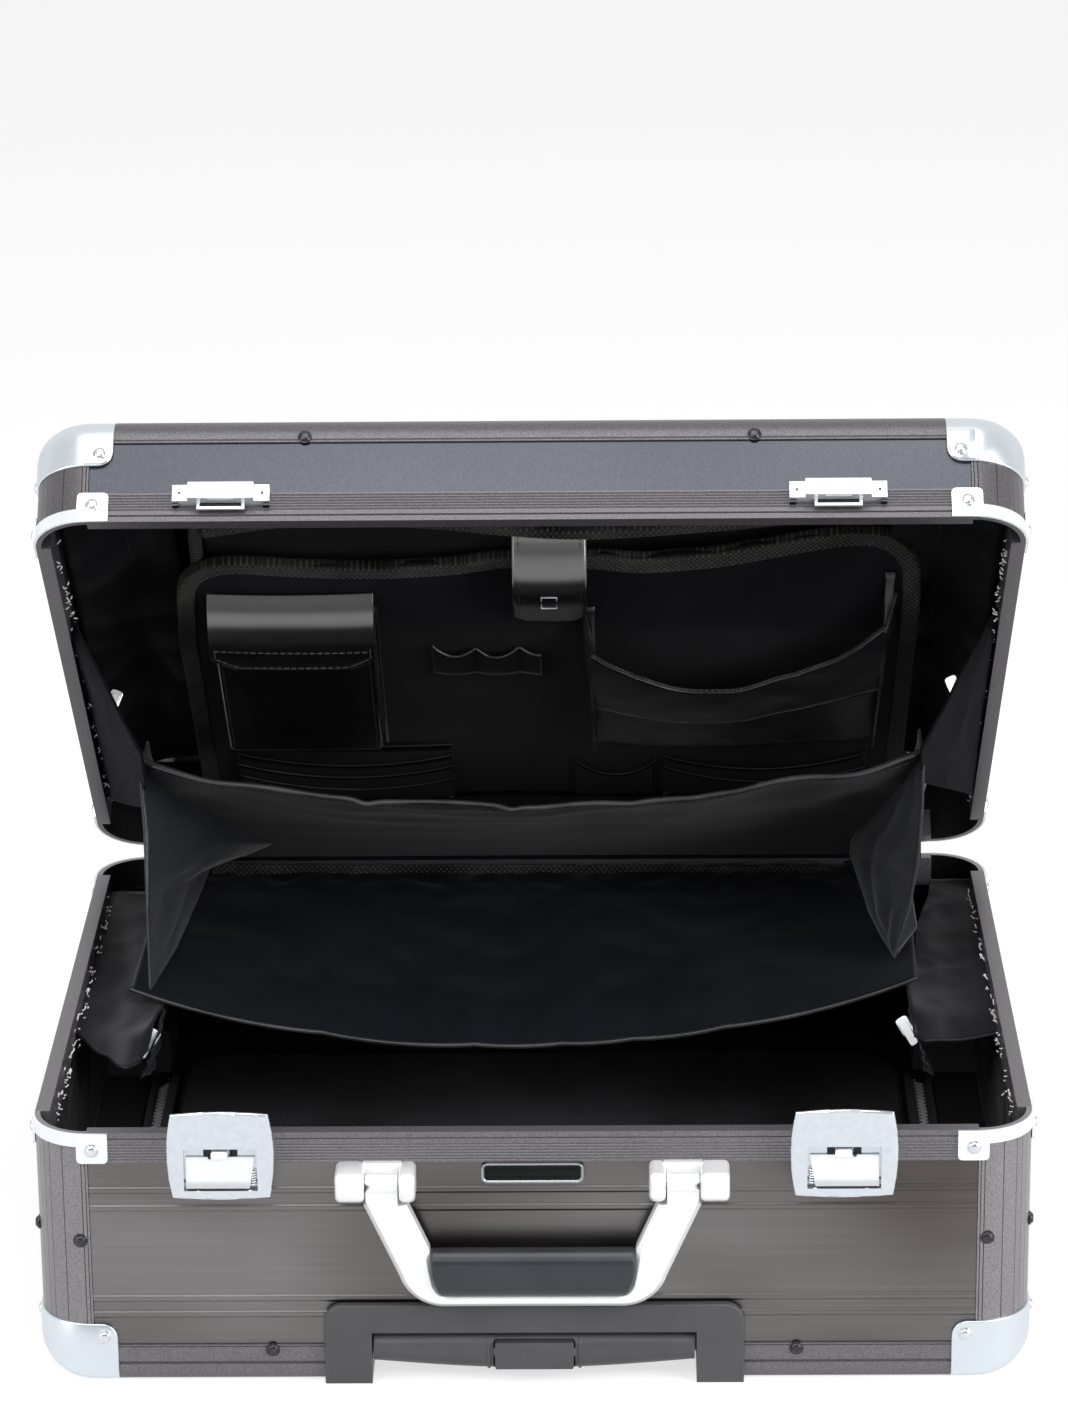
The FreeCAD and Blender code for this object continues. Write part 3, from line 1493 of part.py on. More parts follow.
save("left_latch_hook", latch_hook(LEFT_LATCH))
save("right_latch_hook", latch_hook(RIGHT_LATCH))
save("bail_brackets", both_sides(bail_bracket()))
save("bail_frame", bail_frame())
save("bail_grip", bail_grip())
save("name_plate", name_plate())
save("bellows_lower_leaf", bellows_lower_leaf())
save("bellows_upper_leaf", bellows_upper_leaf())
save("bellows_gussets", [gusset(-1), gusset(1)])
save("base_side_flaps", [base_side_flap(-1), base_side_flap(1)])
save("base_zip_chains", [base_zip_chain(-1), base_zip_chain(1)])
save("left_zip_slider", base_zip_slider(-1))
save("right_zip_slider", base_zip_slider(1))
save("lid_top_panel", lid_top_panel(), True)
save("lid_wall_panels", lid_wall_panels(), True)
save("lid_edge_rails", lid_edge_rails(), True)
save("lid_corner_columns", lid_corner_columns(), True)
save("lid_ball_corners", lid_ball_corners(), True)
save("lid_rim_brackets", lid_rim_brackets(), True)
save("lid_rivets", lid_rivets(), True)
save("lid_wall_lining", lid_wall_lining(), True)
save("hinge_lid_leaves", hinge_leaf(False), True)
save("latch_keepers", [keeper(LEFT_LATCH), keeper(RIGHT_LATCH),
                       keeper_loop(LEFT_LATCH), keeper_loop(RIGHT_LATCH)], True)
save("lid_side_flaps", [lid_side_flap(-1), lid_side_flap(1)])
save("organiser_panel", organiser_panel(), True)
save("organiser_strap", organiser_strap(), True)
save("phone_pocket", phone_pocket(), True)
save("phone_flap", phone_flap(), True)
save("document_pocket", document_pocket(), True)
save("card_slots", card_slots(), True)
print(len(nodes), "nodes")
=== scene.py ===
import bpy
import math
from mathutils import Matrix, Vector, noise


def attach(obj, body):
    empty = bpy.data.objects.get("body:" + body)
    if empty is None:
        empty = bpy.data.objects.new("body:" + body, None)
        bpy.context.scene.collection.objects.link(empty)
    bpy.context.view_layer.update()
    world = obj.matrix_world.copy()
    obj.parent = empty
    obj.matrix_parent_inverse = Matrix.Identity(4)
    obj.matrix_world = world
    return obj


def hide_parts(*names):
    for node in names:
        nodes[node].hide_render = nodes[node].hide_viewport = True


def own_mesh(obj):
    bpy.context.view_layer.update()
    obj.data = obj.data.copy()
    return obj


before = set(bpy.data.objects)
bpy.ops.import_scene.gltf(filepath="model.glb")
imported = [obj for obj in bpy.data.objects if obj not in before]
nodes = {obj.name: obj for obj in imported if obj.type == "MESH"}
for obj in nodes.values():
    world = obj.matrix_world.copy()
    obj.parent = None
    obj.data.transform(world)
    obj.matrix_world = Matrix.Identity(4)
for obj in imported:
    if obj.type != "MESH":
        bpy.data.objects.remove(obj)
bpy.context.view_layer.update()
print("frame loaded:", len(nodes), "nodes")

# millimetres and degrees; the rim is where the base meets the lid
case = {"halfWidth": 235.0, "halfDepth": 181.5, "rim": 128.1, "lidHeight": 59.2, "lidAngle": 45.4}
hingeLine, lidFromHinge = (0, 0.1893, 0.1284), (0, -0.0078, 0.0003)  # metres
# from the shut lid, its rear face at y 0 and its rim plane at z 0, to the open lid
lidMatrix = (Matrix.Translation(hingeLine) @ Matrix.Rotation(math.radians(-case["lidAngle"]), 4, "X")
             @ Matrix.Translation(lidFromHinge))


# camera, lights and stage
camera = {"place": (0.036, -2.3085, 1.074), "down": 19.15, "turn": -0.89, "roll": -0.6, "lens": 125.75}


def makeCamera():
    down, turn, roll = (math.radians(camera[k]) for k in ("down", "turn", "roll"))
    ahead = Vector((math.sin(turn) * math.cos(down), math.cos(turn) * math.cos(down), -math.sin(down)))
    right = Vector((math.cos(turn), -math.sin(turn), 0))
    up = right.cross(ahead)
    across = math.cos(roll) * right + math.sin(roll) * up
    upward = math.cos(roll) * up - math.sin(roll) * right
    data = bpy.data.cameras.new("photoCamera")
    data.lens = camera["lens"]
    data.sensor_width = 36
    data.clip_end = 50
    obj = bpy.data.objects.new("photoCamera", data)
    bpy.context.scene.collection.objects.link(obj)
    turned = Matrix((across, upward, -ahead)).transposed().to_4x4()
    obj.matrix_world = Matrix.Translation(camera["place"]) @ turned
    bpy.context.scene.camera = obj


def hexColour(code):
    parts = [int(code[i:i + 2], 16) / 255 for i in (1, 3, 5)]
    return tuple(c / 12.92 if c <= 0.04045 else ((c + 0.055) / 1.055) ** 2.4 for c in parts) + (1.0,)


def addNode(tree, kind, settings=None, links=()):
    # settings are sockets or properties, links are (socket, node, its output)
    node = tree.nodes.new("ShaderNode" + kind)
    for key, value in (settings or {}).items():
        if isinstance(key, int) or key in node.inputs:
            node.inputs[key].default_value = value
        else:
            setattr(node, key, value)
    for key, source, output in links:
        tree.links.new(source.outputs[output], node.inputs[key])
    return node


def emptyMaterial(name):
    material = bpy.data.materials.new(name)
    material.use_nodes = True
    material.node_tree.nodes.clear()
    return material, material.node_tree


lamps = {
    "leftBox": {"place": (-1.9, -1.6, 1.7), "size": (1.3, 1.3), "power": 20},
    "rightBox": {"place": (1.9, -1.5, 1.5), "size": (1.2, 1.3), "power": 25},
    "topBox": {"place": (0.0, -0.5, 2.2), "size": (1.8, 1.4), "power": 24},
    "frontHigh": {"place": (-0.5, -2.1, 1.9), "size": (1.4, 0.8), "power": 10},
    "leftStrip": {"place": (-1.25, -0.8, 0.4), "size": (0.4, 1.0), "power": 3},
    "rightStrip": {"place": (1.25, -0.8, 0.4), "size": (0.4, 1.0), "power": 9},
}


stage = {"aim": (0, 0, 0.15), "roomSpan": (-0.9, 0.5), "roomTones": (0.42, 1.0), "fill": 0.55,
         "floorSize": 12, "floorPlace": (0, 2, 0), "glow": 0.68, "paper": 0.36, "bounce": 0.3}


def grey(value):
    return (value, value, value, 1)


def makeLights():
    for name, lamp in lamps.items():
        data = bpy.data.lights.new(name, "AREA")
        data.shape = "RECTANGLE"
        data.size, data.size_y = lamp["size"]
        data.energy = lamp["power"]
        obj = bpy.data.objects.new(name, data)
        bpy.context.scene.collection.objects.link(obj)
        obj.location = lamp["place"]
        obj.rotation_euler = (Vector(stage["aim"]) - obj.location).to_track_quat("-Z", "Y").to_euler()
    world = bpy.data.worlds.new("whiteStudio")
    bpy.context.scene.world = world
    world.use_nodes = True
    tree = world.node_tree
    tree.nodes.clear()
    path = addNode(tree, "LightPath")
    shown = addNode(tree, "Math", {"operation": "MAXIMUM"},
                    [(0, path, "Is Camera Ray"), (1, path, "Is Transmission Ray")])
    # metal sees a room that is white behind the case and greyer behind the camera
    where = addNode(tree, "TexCoord")
    split = addNode(tree, "SeparateXYZ", links=[("Vector", where, "Generated")])
    spanLow, spanHigh = stage["roomSpan"]
    dim, full = stage["roomTones"]
    room = addNode(tree, "MapRange", {"From Min": spanLow, "From Max": spanHigh, "To Min": dim,
                                      "To Max": full},
                   [("Value", split, "Y")])
    glossy = addNode(tree, "Background", {"Color": grey(1)}, [("Strength", room, "Result")])
    soft = addNode(tree, "Background", {"Color": grey(1), "Strength": stage["fill"]})
    white = addNode(tree, "Background", {"Color": grey(1), "Strength": 1.0})
    first = addNode(tree, "MixShader", links=[("Fac", path, "Is Glossy Ray"), (1, soft, 0), (2, glossy, 0)])
    last = addNode(tree, "MixShader", links=[("Fac", shown, 0), (1, first, 0), (2, white, 0)])
    addNode(tree, "OutputWorld", links=[("Surface", last, 0)])


def makeFloor():
    bpy.ops.object.select_all(action="DESELECT")
    bpy.ops.mesh.primitive_plane_add(size=stage["floorSize"], location=stage["floorPlace"])
    floor = bpy.context.object
    floor.name = "paperFloor"
    # white paper: shown white, and still darkened by the case's own shadow
    material, tree = emptyMaterial("whitePaper")
    path = addNode(tree, "LightPath")
    seen = addNode(tree, "Math", {"operation": "MAXIMUM"},
                   [(0, path, "Is Camera Ray"), (1, path, "Is Glossy Ray")])
    glow = addNode(tree, "Emission", {"Color": grey(1), "Strength": stage["glow"]})
    lit = addNode(tree, "BsdfDiffuse", {"Color": grey(stage["paper"])})
    both = addNode(tree, "AddShader", links=[(0, glow, 0), (1, lit, 0)])
    plain = addNode(tree, "BsdfDiffuse", {"Color": grey(stage["bounce"])})
    mixed = addNode(tree, "MixShader", links=[("Fac", seen, 0), (1, plain, 0), (2, both, 0)])
    addNode(tree, "OutputMaterial", links=[("Surface", mixed, 0)])
    floor.data.materials.append(material)


bpy.context.scene.view_settings.view_transform = "Standard"
makeCamera()
makeLights()
makeFloor()
print("camera, lights and floor are in place")


# finishes
def finish(name, surface, colour=None, height=None, distance=0.0):
    # surface holds the shader's own values; colour and height are functions that build what varies
    material, tree = emptyMaterial(name)
    shader = addNode(tree, "BsdfPrincipled", surface)
    where = addNode(tree, "TexCoord")
    if colour:
        source, output = colour(tree, where)
        tree.links.new(source.outputs[output], shader.inputs["Base Color"])
    if height:
        source, output = height(tree, where)
        bump = addNode(tree, "Bump", {"Strength": 1.0, "Distance": distance}, [("Height", source, output)])
        tree.links.new(bump.outputs["Normal"], shader.inputs["Normal"])
    addNode(tree, "OutputMaterial", links=[("Surface", shader, 0)])
    return material


def grain(tree, where, scale, detail=3.0):
    # noise with its own size along each axis, in cycles per metre
    mapped = addNode(tree, "Mapping", {"Scale": scale}, [("Vector", where, "Object")])
    return addNode(tree, "TexNoise", {"Scale": 1.0, "Detail": detail, "Roughness": 0.55},
                   [("Vector", mapped, 0)])


def tones(tree, source, output, low, high, start=0.35, end=0.65):
    ramp = addNode(tree, "ValToRGB", links=[("Fac", source, output)])
    ramp.color_ramp.elements[0].position = start
    ramp.color_ramp.elements[0].color = hexColour(low)
    ramp.color_ramp.elements[1].position = end
    ramp.color_ramp.elements[1].color = hexColour(high)
    return ramp


def brushedPanel(name, low, high, roughness, alongX=True, smudgeAndShade="#b3aca7"):
    # anodised sheet, brushed in one direction: fine streaks, soft wide cloudy smudges and, when brushed
    # along x, painted shade that darkens it towards +x
    size = (9, 1300, 1300) if alongX else (1300, 9, 1300)  # streaks about 0.8 mm wide, drawn coarser

    def colour(tree, where):
        streaks = grain(tree, where, size, 4.0)
        ramp = tones(tree, streaks, "Fac", low, high, 0.3, 0.7)
        clouds = grain(tree, where, (6, 6, 12), 1.5)
        # painted shade: the tone falls along x, so the sheet is darker towards +x (the right), standing in
        # for light from the left; the clouds are random smudges
        split = addNode(tree, "SeparateXYZ", links=[("Vector", where, "Object")])
        slope = addNode(tree, "Math", {"operation": "MULTIPLY_ADD", 1: -0.7 if alongX else 0.0},
                        [(0, split, "X"), (2, clouds, "Fac")])
        shade = tones(tree, slope, 0, smudgeAndShade, "#ffffff", 0.3, 0.68)
        mix = addNode(tree, "Mix", {"data_type": "RGBA", "blend_type": "MULTIPLY", 0: 1.0})
        tree.links.new(ramp.outputs[0], mix.inputs[6])
        tree.links.new(shade.outputs[0], mix.inputs[7])
        return mix, 2

    def height(tree, where):
        return grain(tree, where, size, 2.0), "Fac"

    return finish(name, {"Metallic": 1.0, "Roughness": roughness}, colour, height, 0.000004)


def specklePlate(name, low, high, roughness, pitch=0.9, bump=0.00002, metal=1.0):
    # metal with a fine cast or plated grain, pitch in millimetres
    cycles = 1000 / pitch

    def colour(tree, where):
        return tones(tree, grain(tree, where, (cycles,) * 3, 4.0), "Fac", low, high, 0.35, 0.62), 0

    def height(tree, where):
        return grain(tree, where, (cycles * 0.7,) * 3, 2.0), "Fac"

    return finish(name, {"Metallic": metal, "Roughness": roughness}, colour, height, bump)


weave = {"twill": 0.785, "wavesPerCycle": 6.283 / 2, "distortion": 0.4, "patches": 22, "threadShare": 0.45}


def wovenCloth(name, low, high, pitch, roughness, sheen, turn=(0, 0, 0), bump=0.0001, specular=0.35):
    # cloth with threads pitch millimetres apart, turned to run as twill
    waves = 1000 / pitch / weave["wavesPerCycle"]

    def threads(tree, where):
        spin = (turn[0], turn[1], turn[2] + weave["twill"])
        mapped = addNode(tree, "Mapping", {"Rotation": spin}, [("Vector", where, "Object")])
        across, along = (addNode(tree, "TexWave", {"Scale": waves, "Distortion": weave["distortion"],
                                                   "bands_direction": axis}, [("Vector", mapped, 0)])
                         for axis in "XY")
        return addNode(tree, "Math", {"operation": "MULTIPLY"}, [(0, across, "Fac"), (1, along, "Fac")])

    def colour(tree, where):
        patches = grain(tree, where, (weave["patches"],) * 3)
        both = addNode(tree, "Math", {"operation": "MULTIPLY_ADD", 1: weave["threadShare"]},
                       [(0, threads(tree, where), 0), (2, patches, "Fac")])
        return tones(tree, both, 0, low, high, 0.35, 0.9), 0

    def height(tree, where):
        return threads(tree, where), 0

    return finish(name, {"Roughness": roughness, "Sheen Weight": sheen, "Sheen Roughness": 0.4,
                         "Specular IOR Level": specular}, colour, height, bump)


def pebbled(name, low, high, roughness, pitch, bump, coat=0.0):
    # leathercloth, rubber or moulded plastic: rounded grains pitch millimetres wide
    def colour(tree, where):
        return tones(tree, grain(tree, where, (35,) * 3), "Fac", low, high), 0

    def height(tree, where):
        mapped = addNode(tree, "Mapping", {"Scale": (1000 / pitch,) * 3}, [("Vector", where, "Object")])
        return addNode(tree, "TexVoronoi", {"Scale": 1.0, "feature": "SMOOTH_F1"},
                       [("Vector", mapped, 0)]), "Distance"

    return finish(name, {"Roughness": roughness, "Coat Weight": coat, "Coat Roughness": 0.25,
                         "Coat IOR": 1.5 + 0.4 * coat}, colour, height, bump)


lidTurn = (math.radians(case["lidAngle"]), 0, 0)
finishes = {
    "basePanel": brushedPanel("darkAnodisedSheet", "#757273", "#7d7a7b", 0.34),  # warm dark grey, brushed
    "baseSidePanel": brushedPanel("darkAnodisedSide", "#6a6768", "#716e6f", 0.34, False, "#dcd8d5"),
    # cooler and glossier
    "lidPanel": brushedPanel("greyAnodisedSheet", "#54565a", "#5c5e62", 0.3, smudgeAndShade="#dcdce0"),
    "lidSidePanel": brushedPanel("greyAnodisedSide", "#46484d", "#4e5055", 0.3, False, "#e0e0e4"),
    # one anodised extrusion in three tones: the lid's rails darker as painted shade, the columns lighter as
    # a painted highlight
    "lidProfilePaintedShade": specklePlate("anodisedLidExtrusionPaintedShade", "#4a484b", "#646165", 0.36, 0.7, 0.00001, 0.5),
    "columnProfilePaintedLight": specklePlate("anodisedColumnPaintedLight", "#716f72", "#8f8c90", 0.34, 0.7, 0.00001, 0.5),
    # dark, fine bright speckle
    "profile": specklePlate("anodisedExtrusion", "#5b595c", "#777478", 0.36, 0.7, 0.00001, 0.5),
    # satin plated pressed steel
    "fitting": specklePlate("satinNickel", "#cdd5db", "#d6dde3", 0.3, 0.6, 0.000002),
    # mirror plating
    "bright": specklePlate("polishedChrome", "#e8ecf0", "#ecf0f3", 0.2, 3.0, 0.000001, 0.6),
    # bluish, softer
    "latchPlate": specklePlate("chromedPlate", "#c9cfd6", "#ced4da", 0.22, 3.0, 0.000001, 0.8),
    # cast and burnished
    "whiteMetal": specklePlate("burnishedAlloy", "#f1f2f3", "#f5f5f6", 0.36, 1.2, 0.000002, 0.45),
    # small bright heads
    "rivetSilver": specklePlate("nickelRivet", "#c9ccd0", "#dadde0", 0.16, 1.0, 0.000004),
    "darkPlate": brushedPanel("blackAnodisedPlate", "#1d2220", "#2b312f", 0.25),  # recessed field, left bare
    "steel": specklePlate("drawnSteel", "#8d8f93", "#a7a9ad", 0.28),  # tubes and pins
    "darkRivet": specklePlate("blackenedSteel", "#3a393b", "#4c4b4d", 0.24, 1.0),
    "plastic": pebbled("mouldedAbs", "#434345", "#4a4a4c", 0.42, 0.7, 0.00003),  # charcoal, fine spark grain
    "rubber": pebbled("gripRubber", "#20232a", "#292c33", 0.33, 0.9, 0.00003),
    "wheelRubber": pebbled("wheelRubber", "#17181a", "#1f2022", 0.55, 0.8, 0.00004),
    "lining": wovenCloth("liningTwill", "#060607", "#101013", 0.9, 0.6, 0.08, lidTurn, specular=0.1),
    "baseLining": wovenCloth("liningCloth", "#050506", "#0f0f11", 0.9, 0.6, 0.08, specular=0.15),
    "floorMesh": wovenCloth("dottedMesh", "#030304", "#3a3a40", 2.6, 0.5, 0.1, bump=0.0003),
    # one coated nylon in several tones below, set partly to the light each place gets: painted light and
    # shade
    # satin sheen
    "nylon": wovenCloth("coatedNylon", "#08090c", "#16171c", 1.3, 0.36, 0.08, bump=0.00006, specular=0.16),
    # the gussets' nylon, lighter than the rest as painted light on their sideways folds
    "nylonSidePaintedLight": wovenCloth("coatedNylonGussetPaintedLight", "#1c1d21", "#2b2c32", 1.3, 0.36, 0.2, bump=0.00005,
                            specular=0.35),
    # bluer, duller
    "nylonLow": wovenCloth("coatedNylonLeaf", "#08090e", "#14161d", 1.3, 0.42, 0.05, bump=0.00006,
                           specular=0.15),
    # greyer, unlined
    "nylonSoft": wovenCloth("slackNylon", "#0e0e12", "#1b1b21", 1.3, 0.42, 0.1, bump=0.00005, specular=0.2),
    "nylonLid": wovenCloth("pocketNylon", "#09090b", "#151518", 1.3, 0.42, 0.06, lidTurn, 0.00005,
                           specular=0.15),
    "nylonFlap": wovenCloth("lidFlapNylon", "#0c0c0f", "#17171c", 0.8, 0.75, 0.02, lidTurn, 0.00003,
                            specular=0.02),
    "organiserCloth": wovenCloth("organiserNylon", "#060608", "#151519", 1.2, 0.42, 0.06, lidTurn, 0.00006,
                                 specular=0.1),
    "blackThread": pebbled("blackThread", "#141416", "#232325", 0.5, 0.4, 0.00005),
    "greyThread": pebbled("greyThread", "#2a2a2c", "#454547", 0.5, 0.4, 0.00005),
    "sheenEdge": pebbled("shinyPiping", "#1c1c1e", "#38383a", 0.25, 0.6, 0.00003),  # glossy turned edges and hems, paler than the cloth: real gloss plus a painted highlight along the edge
    "paleInk": pebbled("paleInk", "#b9b9bc", "#d2d2d4", 0.5, 0.6, 0.00002),
    "zipTape": wovenCloth("zipTape", "#08080a", "#141416", 0.9, 0.6, 0.2),
    "binding": wovenCloth("wovenBinding", "#050505", "#444442", 2.1, 0.6, 0.05, lidTurn, 0.0005,
                          specular=0.15),
    # pressed grain, soft gloss
    "leather": pebbled("leathercloth", "#0a0a0b", "#111113", 0.3, 1.0, 0.00004, 1.0),
    # duller, unbacked
    "softLeather": pebbled("softLeathercloth", "#08080a", "#0f0f11", 0.42, 1.0, 0.00004, 0.1),
    # zip teeth drawn pale grey though the coil is black nylon: painted light where little lamp light reaches
    # them
    "zip": pebbled("zipTeethPaintedLight", "#8a8a92", "#a4a4ac", 0.3, 0.8, 0.00005),
    "whiteGlue": pebbled("driedGlue", "#d9d9d6", "#ececea", 0.5, 0.8, 0.0001),
}
# the only nodes that no piece of the scene replaces
nodeFinish = {
    "steel": ["release_rods", "button_springs", "pivot_pins"],
    "baseLining": ["base_wall_lining", "base_floor_panel"],
    "lining": ["lid_wall_lining"],
}
for key, names in nodeFinish.items():
    for nodeName in names:
        nodeObject = nodes[nodeName]
        if not nodeObject.material_slots:
            nodeObject.data.materials.append(finishes[key])
        for materialSlot in nodeObject.material_slots:
            materialSlot.material = finishes[key]
print("finishes assigned")


# modelling helpers
def mode(kind):
    bpy.ops.object.mode_set(mode=kind)


def pickAll():
    bpy.ops.mesh.select_all(action="SELECT")


def applyPlace():
    bpy.ops.object.transform_apply(location=True, rotation=True, scale=True)


def alone(obj):
    # object mode, with only this piece selected
    if bpy.context.object and bpy.context.object.mode != "OBJECT":
        mode("OBJECT")
    bpy.ops.object.select_all(action="DESELECT")
    if obj:
        obj.select_set(True)
        bpy.context.view_layer.objects.active = obj


def cube(name, low, high):
    alone(None)
    bpy.ops.mesh.primitive_cube_add(size=1, location=[(a + b) / 2000 for a, b in zip(low, high)])
    obj = bpy.context.object
    obj.name = name
    obj.scale = [(b - a) / 1000 for a, b in zip(low, high)]
    applyPlace()
    return obj


def pick(obj, kind, test):
    # goes to edit mode with the faces, edges or vertices that the test accepts, in millimetres
    alone(obj)
    mode("EDIT")
    bpy.ops.mesh.select_mode(type=kind)
    bpy.ops.mesh.select_all(action="DESELECT")
    mode("OBJECT")
    mesh = obj.data
    if kind == "FACE":
        for face in mesh.polygons:
            face.select = test(face.center * 1000, face.normal)
    elif kind == "EDGE":
        for edge in mesh.edges:
            a, b = (mesh.vertices[i].co * 1000 for i in edge.vertices)
            edge.select = test((a + b) / 2, (b - a).normalized())
    else:
        for vertex in mesh.vertices:
            vertex.select = test(vertex.co * 1000)
    mode("EDIT")


def roundPicked(width, segments=3, corner=False):
    bpy.ops.mesh.bevel(offset=width / 1000, segments=segments, profile=0.5,
                       affect="VERTICES" if corner else "EDGES")
    mode("OBJECT")


def roundEdges(obj, test, width, segments=3):
    pick(obj, "EDGE", test)
    roundPicked(width, segments)


def chained(name, points):
    # edges drawn from point to point, left in edit mode
    alone(None)
    bpy.ops.mesh.primitive_plane_add(size=0.001, location=points[0] / 1000)
    obj = bpy.context.object
    obj.name = name
    bpy.ops.object.transform_apply(location=True)
    mode("EDIT")
    bpy.ops.mesh.select_mode(type="VERT")
    pickAll()
    bpy.ops.mesh.merge(type="CENTER")
    for a, b in zip(points, points[1:]):
        bpy.ops.mesh.extrude_vertices_move(TRANSFORM_OT_translate={"value": (b - a) / 1000})
    pickAll()
    return obj


def traced(name, points, push):
    # an outline, filled, and pushed out to a solid
    obj = chained(name, points)
    bpy.ops.mesh.edge_face_add()
    bpy.ops.mesh.extrude_region_move(TRANSFORM_OT_translate={"value": push / 1000})
    pickAll()
    bpy.ops.mesh.normals_make_consistent(inside=False)
    mode("OBJECT")
    return obj


def applied(obj, kind, **values):
    alone(obj)
    modifier = obj.modifiers.new(kind, kind)
    for key, value in values.items():
        setattr(modifier, key, value)
    bpy.ops.object.modifier_apply(modifier=modifier.name)
    return obj


def soften(obj, width, segments=2, angle=32):
    # a small round on every hard edge, with flat faces kept flat in the light
    applied(obj, "BEVEL", width=width / 1000, segments=segments, limit_method="ANGLE",
            angle_limit=math.radians(angle), use_clamp_overlap=True)
    bpy.ops.object.shade_smooth_by_angle(angle=math.radians(50))
    return applied(obj, "WEIGHTED_NORMAL", keep_sharp=True)


def copied(nodeName, name):
    # a copy of a CAD node, its loose triangles merged back to flat faces
    obj = bpy.data.objects.new(name, nodes[nodeName].data.copy())
    bpy.context.scene.collection.objects.link(obj)
    alone(obj)
    mode("EDIT")
    bpy.ops.mesh.select_mode(type="VERT")
    pickAll()
    bpy.ops.mesh.remove_doubles(threshold=0.00001)
    bpy.ops.mesh.customdata_custom_splitnormals_clear()
    bpy.ops.mesh.mark_sharp(clear=True)
    bpy.ops.mesh.dissolve_limited(angle_limit=math.radians(2))
    mode("OBJECT")
    return obj


def twin(obj, name, flip=(1, 1, 1), shift=(0, 0, 0)):
    # a copy with its own mesh, mirrored or stretched about the origin and then moved, in millimetres
    copy = bpy.data.objects.new(name, obj.data.copy())
    bpy.context.scene.collection.objects.link(copy)
    alone(copy)
    copy.scale = flip
    copy.location = Vector(shift) / 1000
    applyPlace()
    if flip[0] * flip[1] * flip[2] < 0:
        mode("EDIT")
        pickAll()
        bpy.ops.mesh.flip_normals()
        mode("OBJECT")
    return copy


def mirrored(obj):
    return twin(obj, obj.name + "Left", (-1, 1, 1))


def joined(pieces, name):
    alone(pieces[0])
    for piece in pieces:
        piece.select_set(True)
    if len(pieces) > 1:
        bpy.ops.object.join()
    pieces[0].name = name
    return pieces[0]


def settle(obj, body, look, replaced=(), onLid=False):
    # gives a finished piece its finish, its body and the nodes that it stands for
    alone(obj)
    if onLid:
        obj.matrix_world = lidMatrix @ obj.matrix_world
    applyPlace()
    if look:
        obj.data.materials.clear()
        obj.data.materials.append(finishes[look])
    if body:
        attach(obj, body)
    if replaced:
        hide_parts(*replaced)


def lidPiece(obj, look, slotName, *replaced):
    # a piece made in the shut lid and carried by the lid
    settle(obj, "lid", look, replaced, True)


# sheet metal, extrusions and plastic that keep the frame's shape, with rounded edges
shellPieces = {
    # node: (piece, body, finish, slot, edge round in millimetres)
    "base_front_panel": ("baseFrontSheet", "base", "basePanel", "panel_grey", 0.25),
    "base_wall_panels": ("baseWallSheets", "base", "baseSidePanel", "panel_grey", 0.25),
    "base_bottom_panel": ("baseBottomSheet", "base", "basePanel", "panel_grey", 0.3),
    "base_edge_rails": ("baseRails", "base", "profile", "profile_grey", 0.12),
    "wheel_housings": ("wheelHousings", "base", "plastic", "charcoal_plastic", 1.2),
    "stand_feet": ("standFeet", "base", "plastic", "charcoal_plastic", 1.4),
    "hinge_base_leaves": ("hingeBaseLeaves", "base", "steel", "steel", 0.3),
    "hinge_lid_leaves": ("hingeLidLeaves", "lid", "steel", "steel", 0.3),
    "trolley_bezel": ("trolleyBezel", "base", "plastic", "charcoal_plastic", 0.9),
    "release_button": ("releaseButton", "release", "plastic", "charcoal_plastic", 0.9),
    "trolley_outer_tubes": ("outerTubes", "base", "steel", "steel", 0.4),
    "trolley_middle_tubes": ("middleTubes", "trolley_middle", "steel", "steel", 0.4),
    "trolley_inner_tubes": ("innerTubes", "trolley_inner", "steel", "steel", 0.4),
    "trolley_tube_mounts": ("tubeMounts", "base", "plastic", "charcoal_plastic", 0.8),
    "bail_frame": ("handleFrame", "bail", "whiteMetal", "polished_metal", 0.35),
    "latch_frames": ("latchFrames", "base", "latchPlate", "polished_metal", 0.6),
    "left_latch_hook": ("leftHook", "left_hook", "steel", "polished_metal", 0.2),
    "right_latch_hook": ("rightHook", "right_hook", "steel", "polished_metal", 0.2),
    "latch_keepers": ("latchKeepers", "lid", "bright", "polished_metal", 0.45),
    "lid_top_panel": ("lidTopSheet", "lid", "lidPanel", "panel_grey", 0.3),
    "lid_wall_panels": ("lidWallSheets", "lid", "lidSidePanel", "panel_grey", 0.25),
    "lid_edge_rails": ("lidRails", "lid", "lidProfilePaintedShade", "profile_grey", 0.12),
}


def frontRail():
    # the rail under the front panel: a lip, a flat, a groove and a lower band with a small round
    outline = [(-179.1, 18.6), (-181.5, 18.6), (-181.5, 17.9), (-180.9, 17.5), (-181.5, 17.1),
               (-181.5, 10.1),
               (-180.5, 9.6), (-180.4, 8.9), (-181.5, 8.3), (-181.5, 4.4), (-181.2, 2.8), (-180.3, 1.3),
               (-178.8, 0.3), (-177.1, 0), (-162.9, 0), (-162.9, 2.4), (-176, 2.4), (-179.1, 5.2)]
    start, length = 99.3, 97.9
    first = traced("railStart", [Vector((start, y, z)) for y, z in outline], Vector((length, 0, 0)))
    bpy.ops.object.shade_smooth_by_angle(angle=math.radians(35))
    return [first, mirrored(first)]


armChamfer = {"width": 2.4, "frontBand": 0.0003, "sideways": 0.3, "outward": 0.25}
shellCuts = {"railBehind": -162, "railTop": 19, "railHalf": 198, "footHalf": 90, "footRound": 2.6}


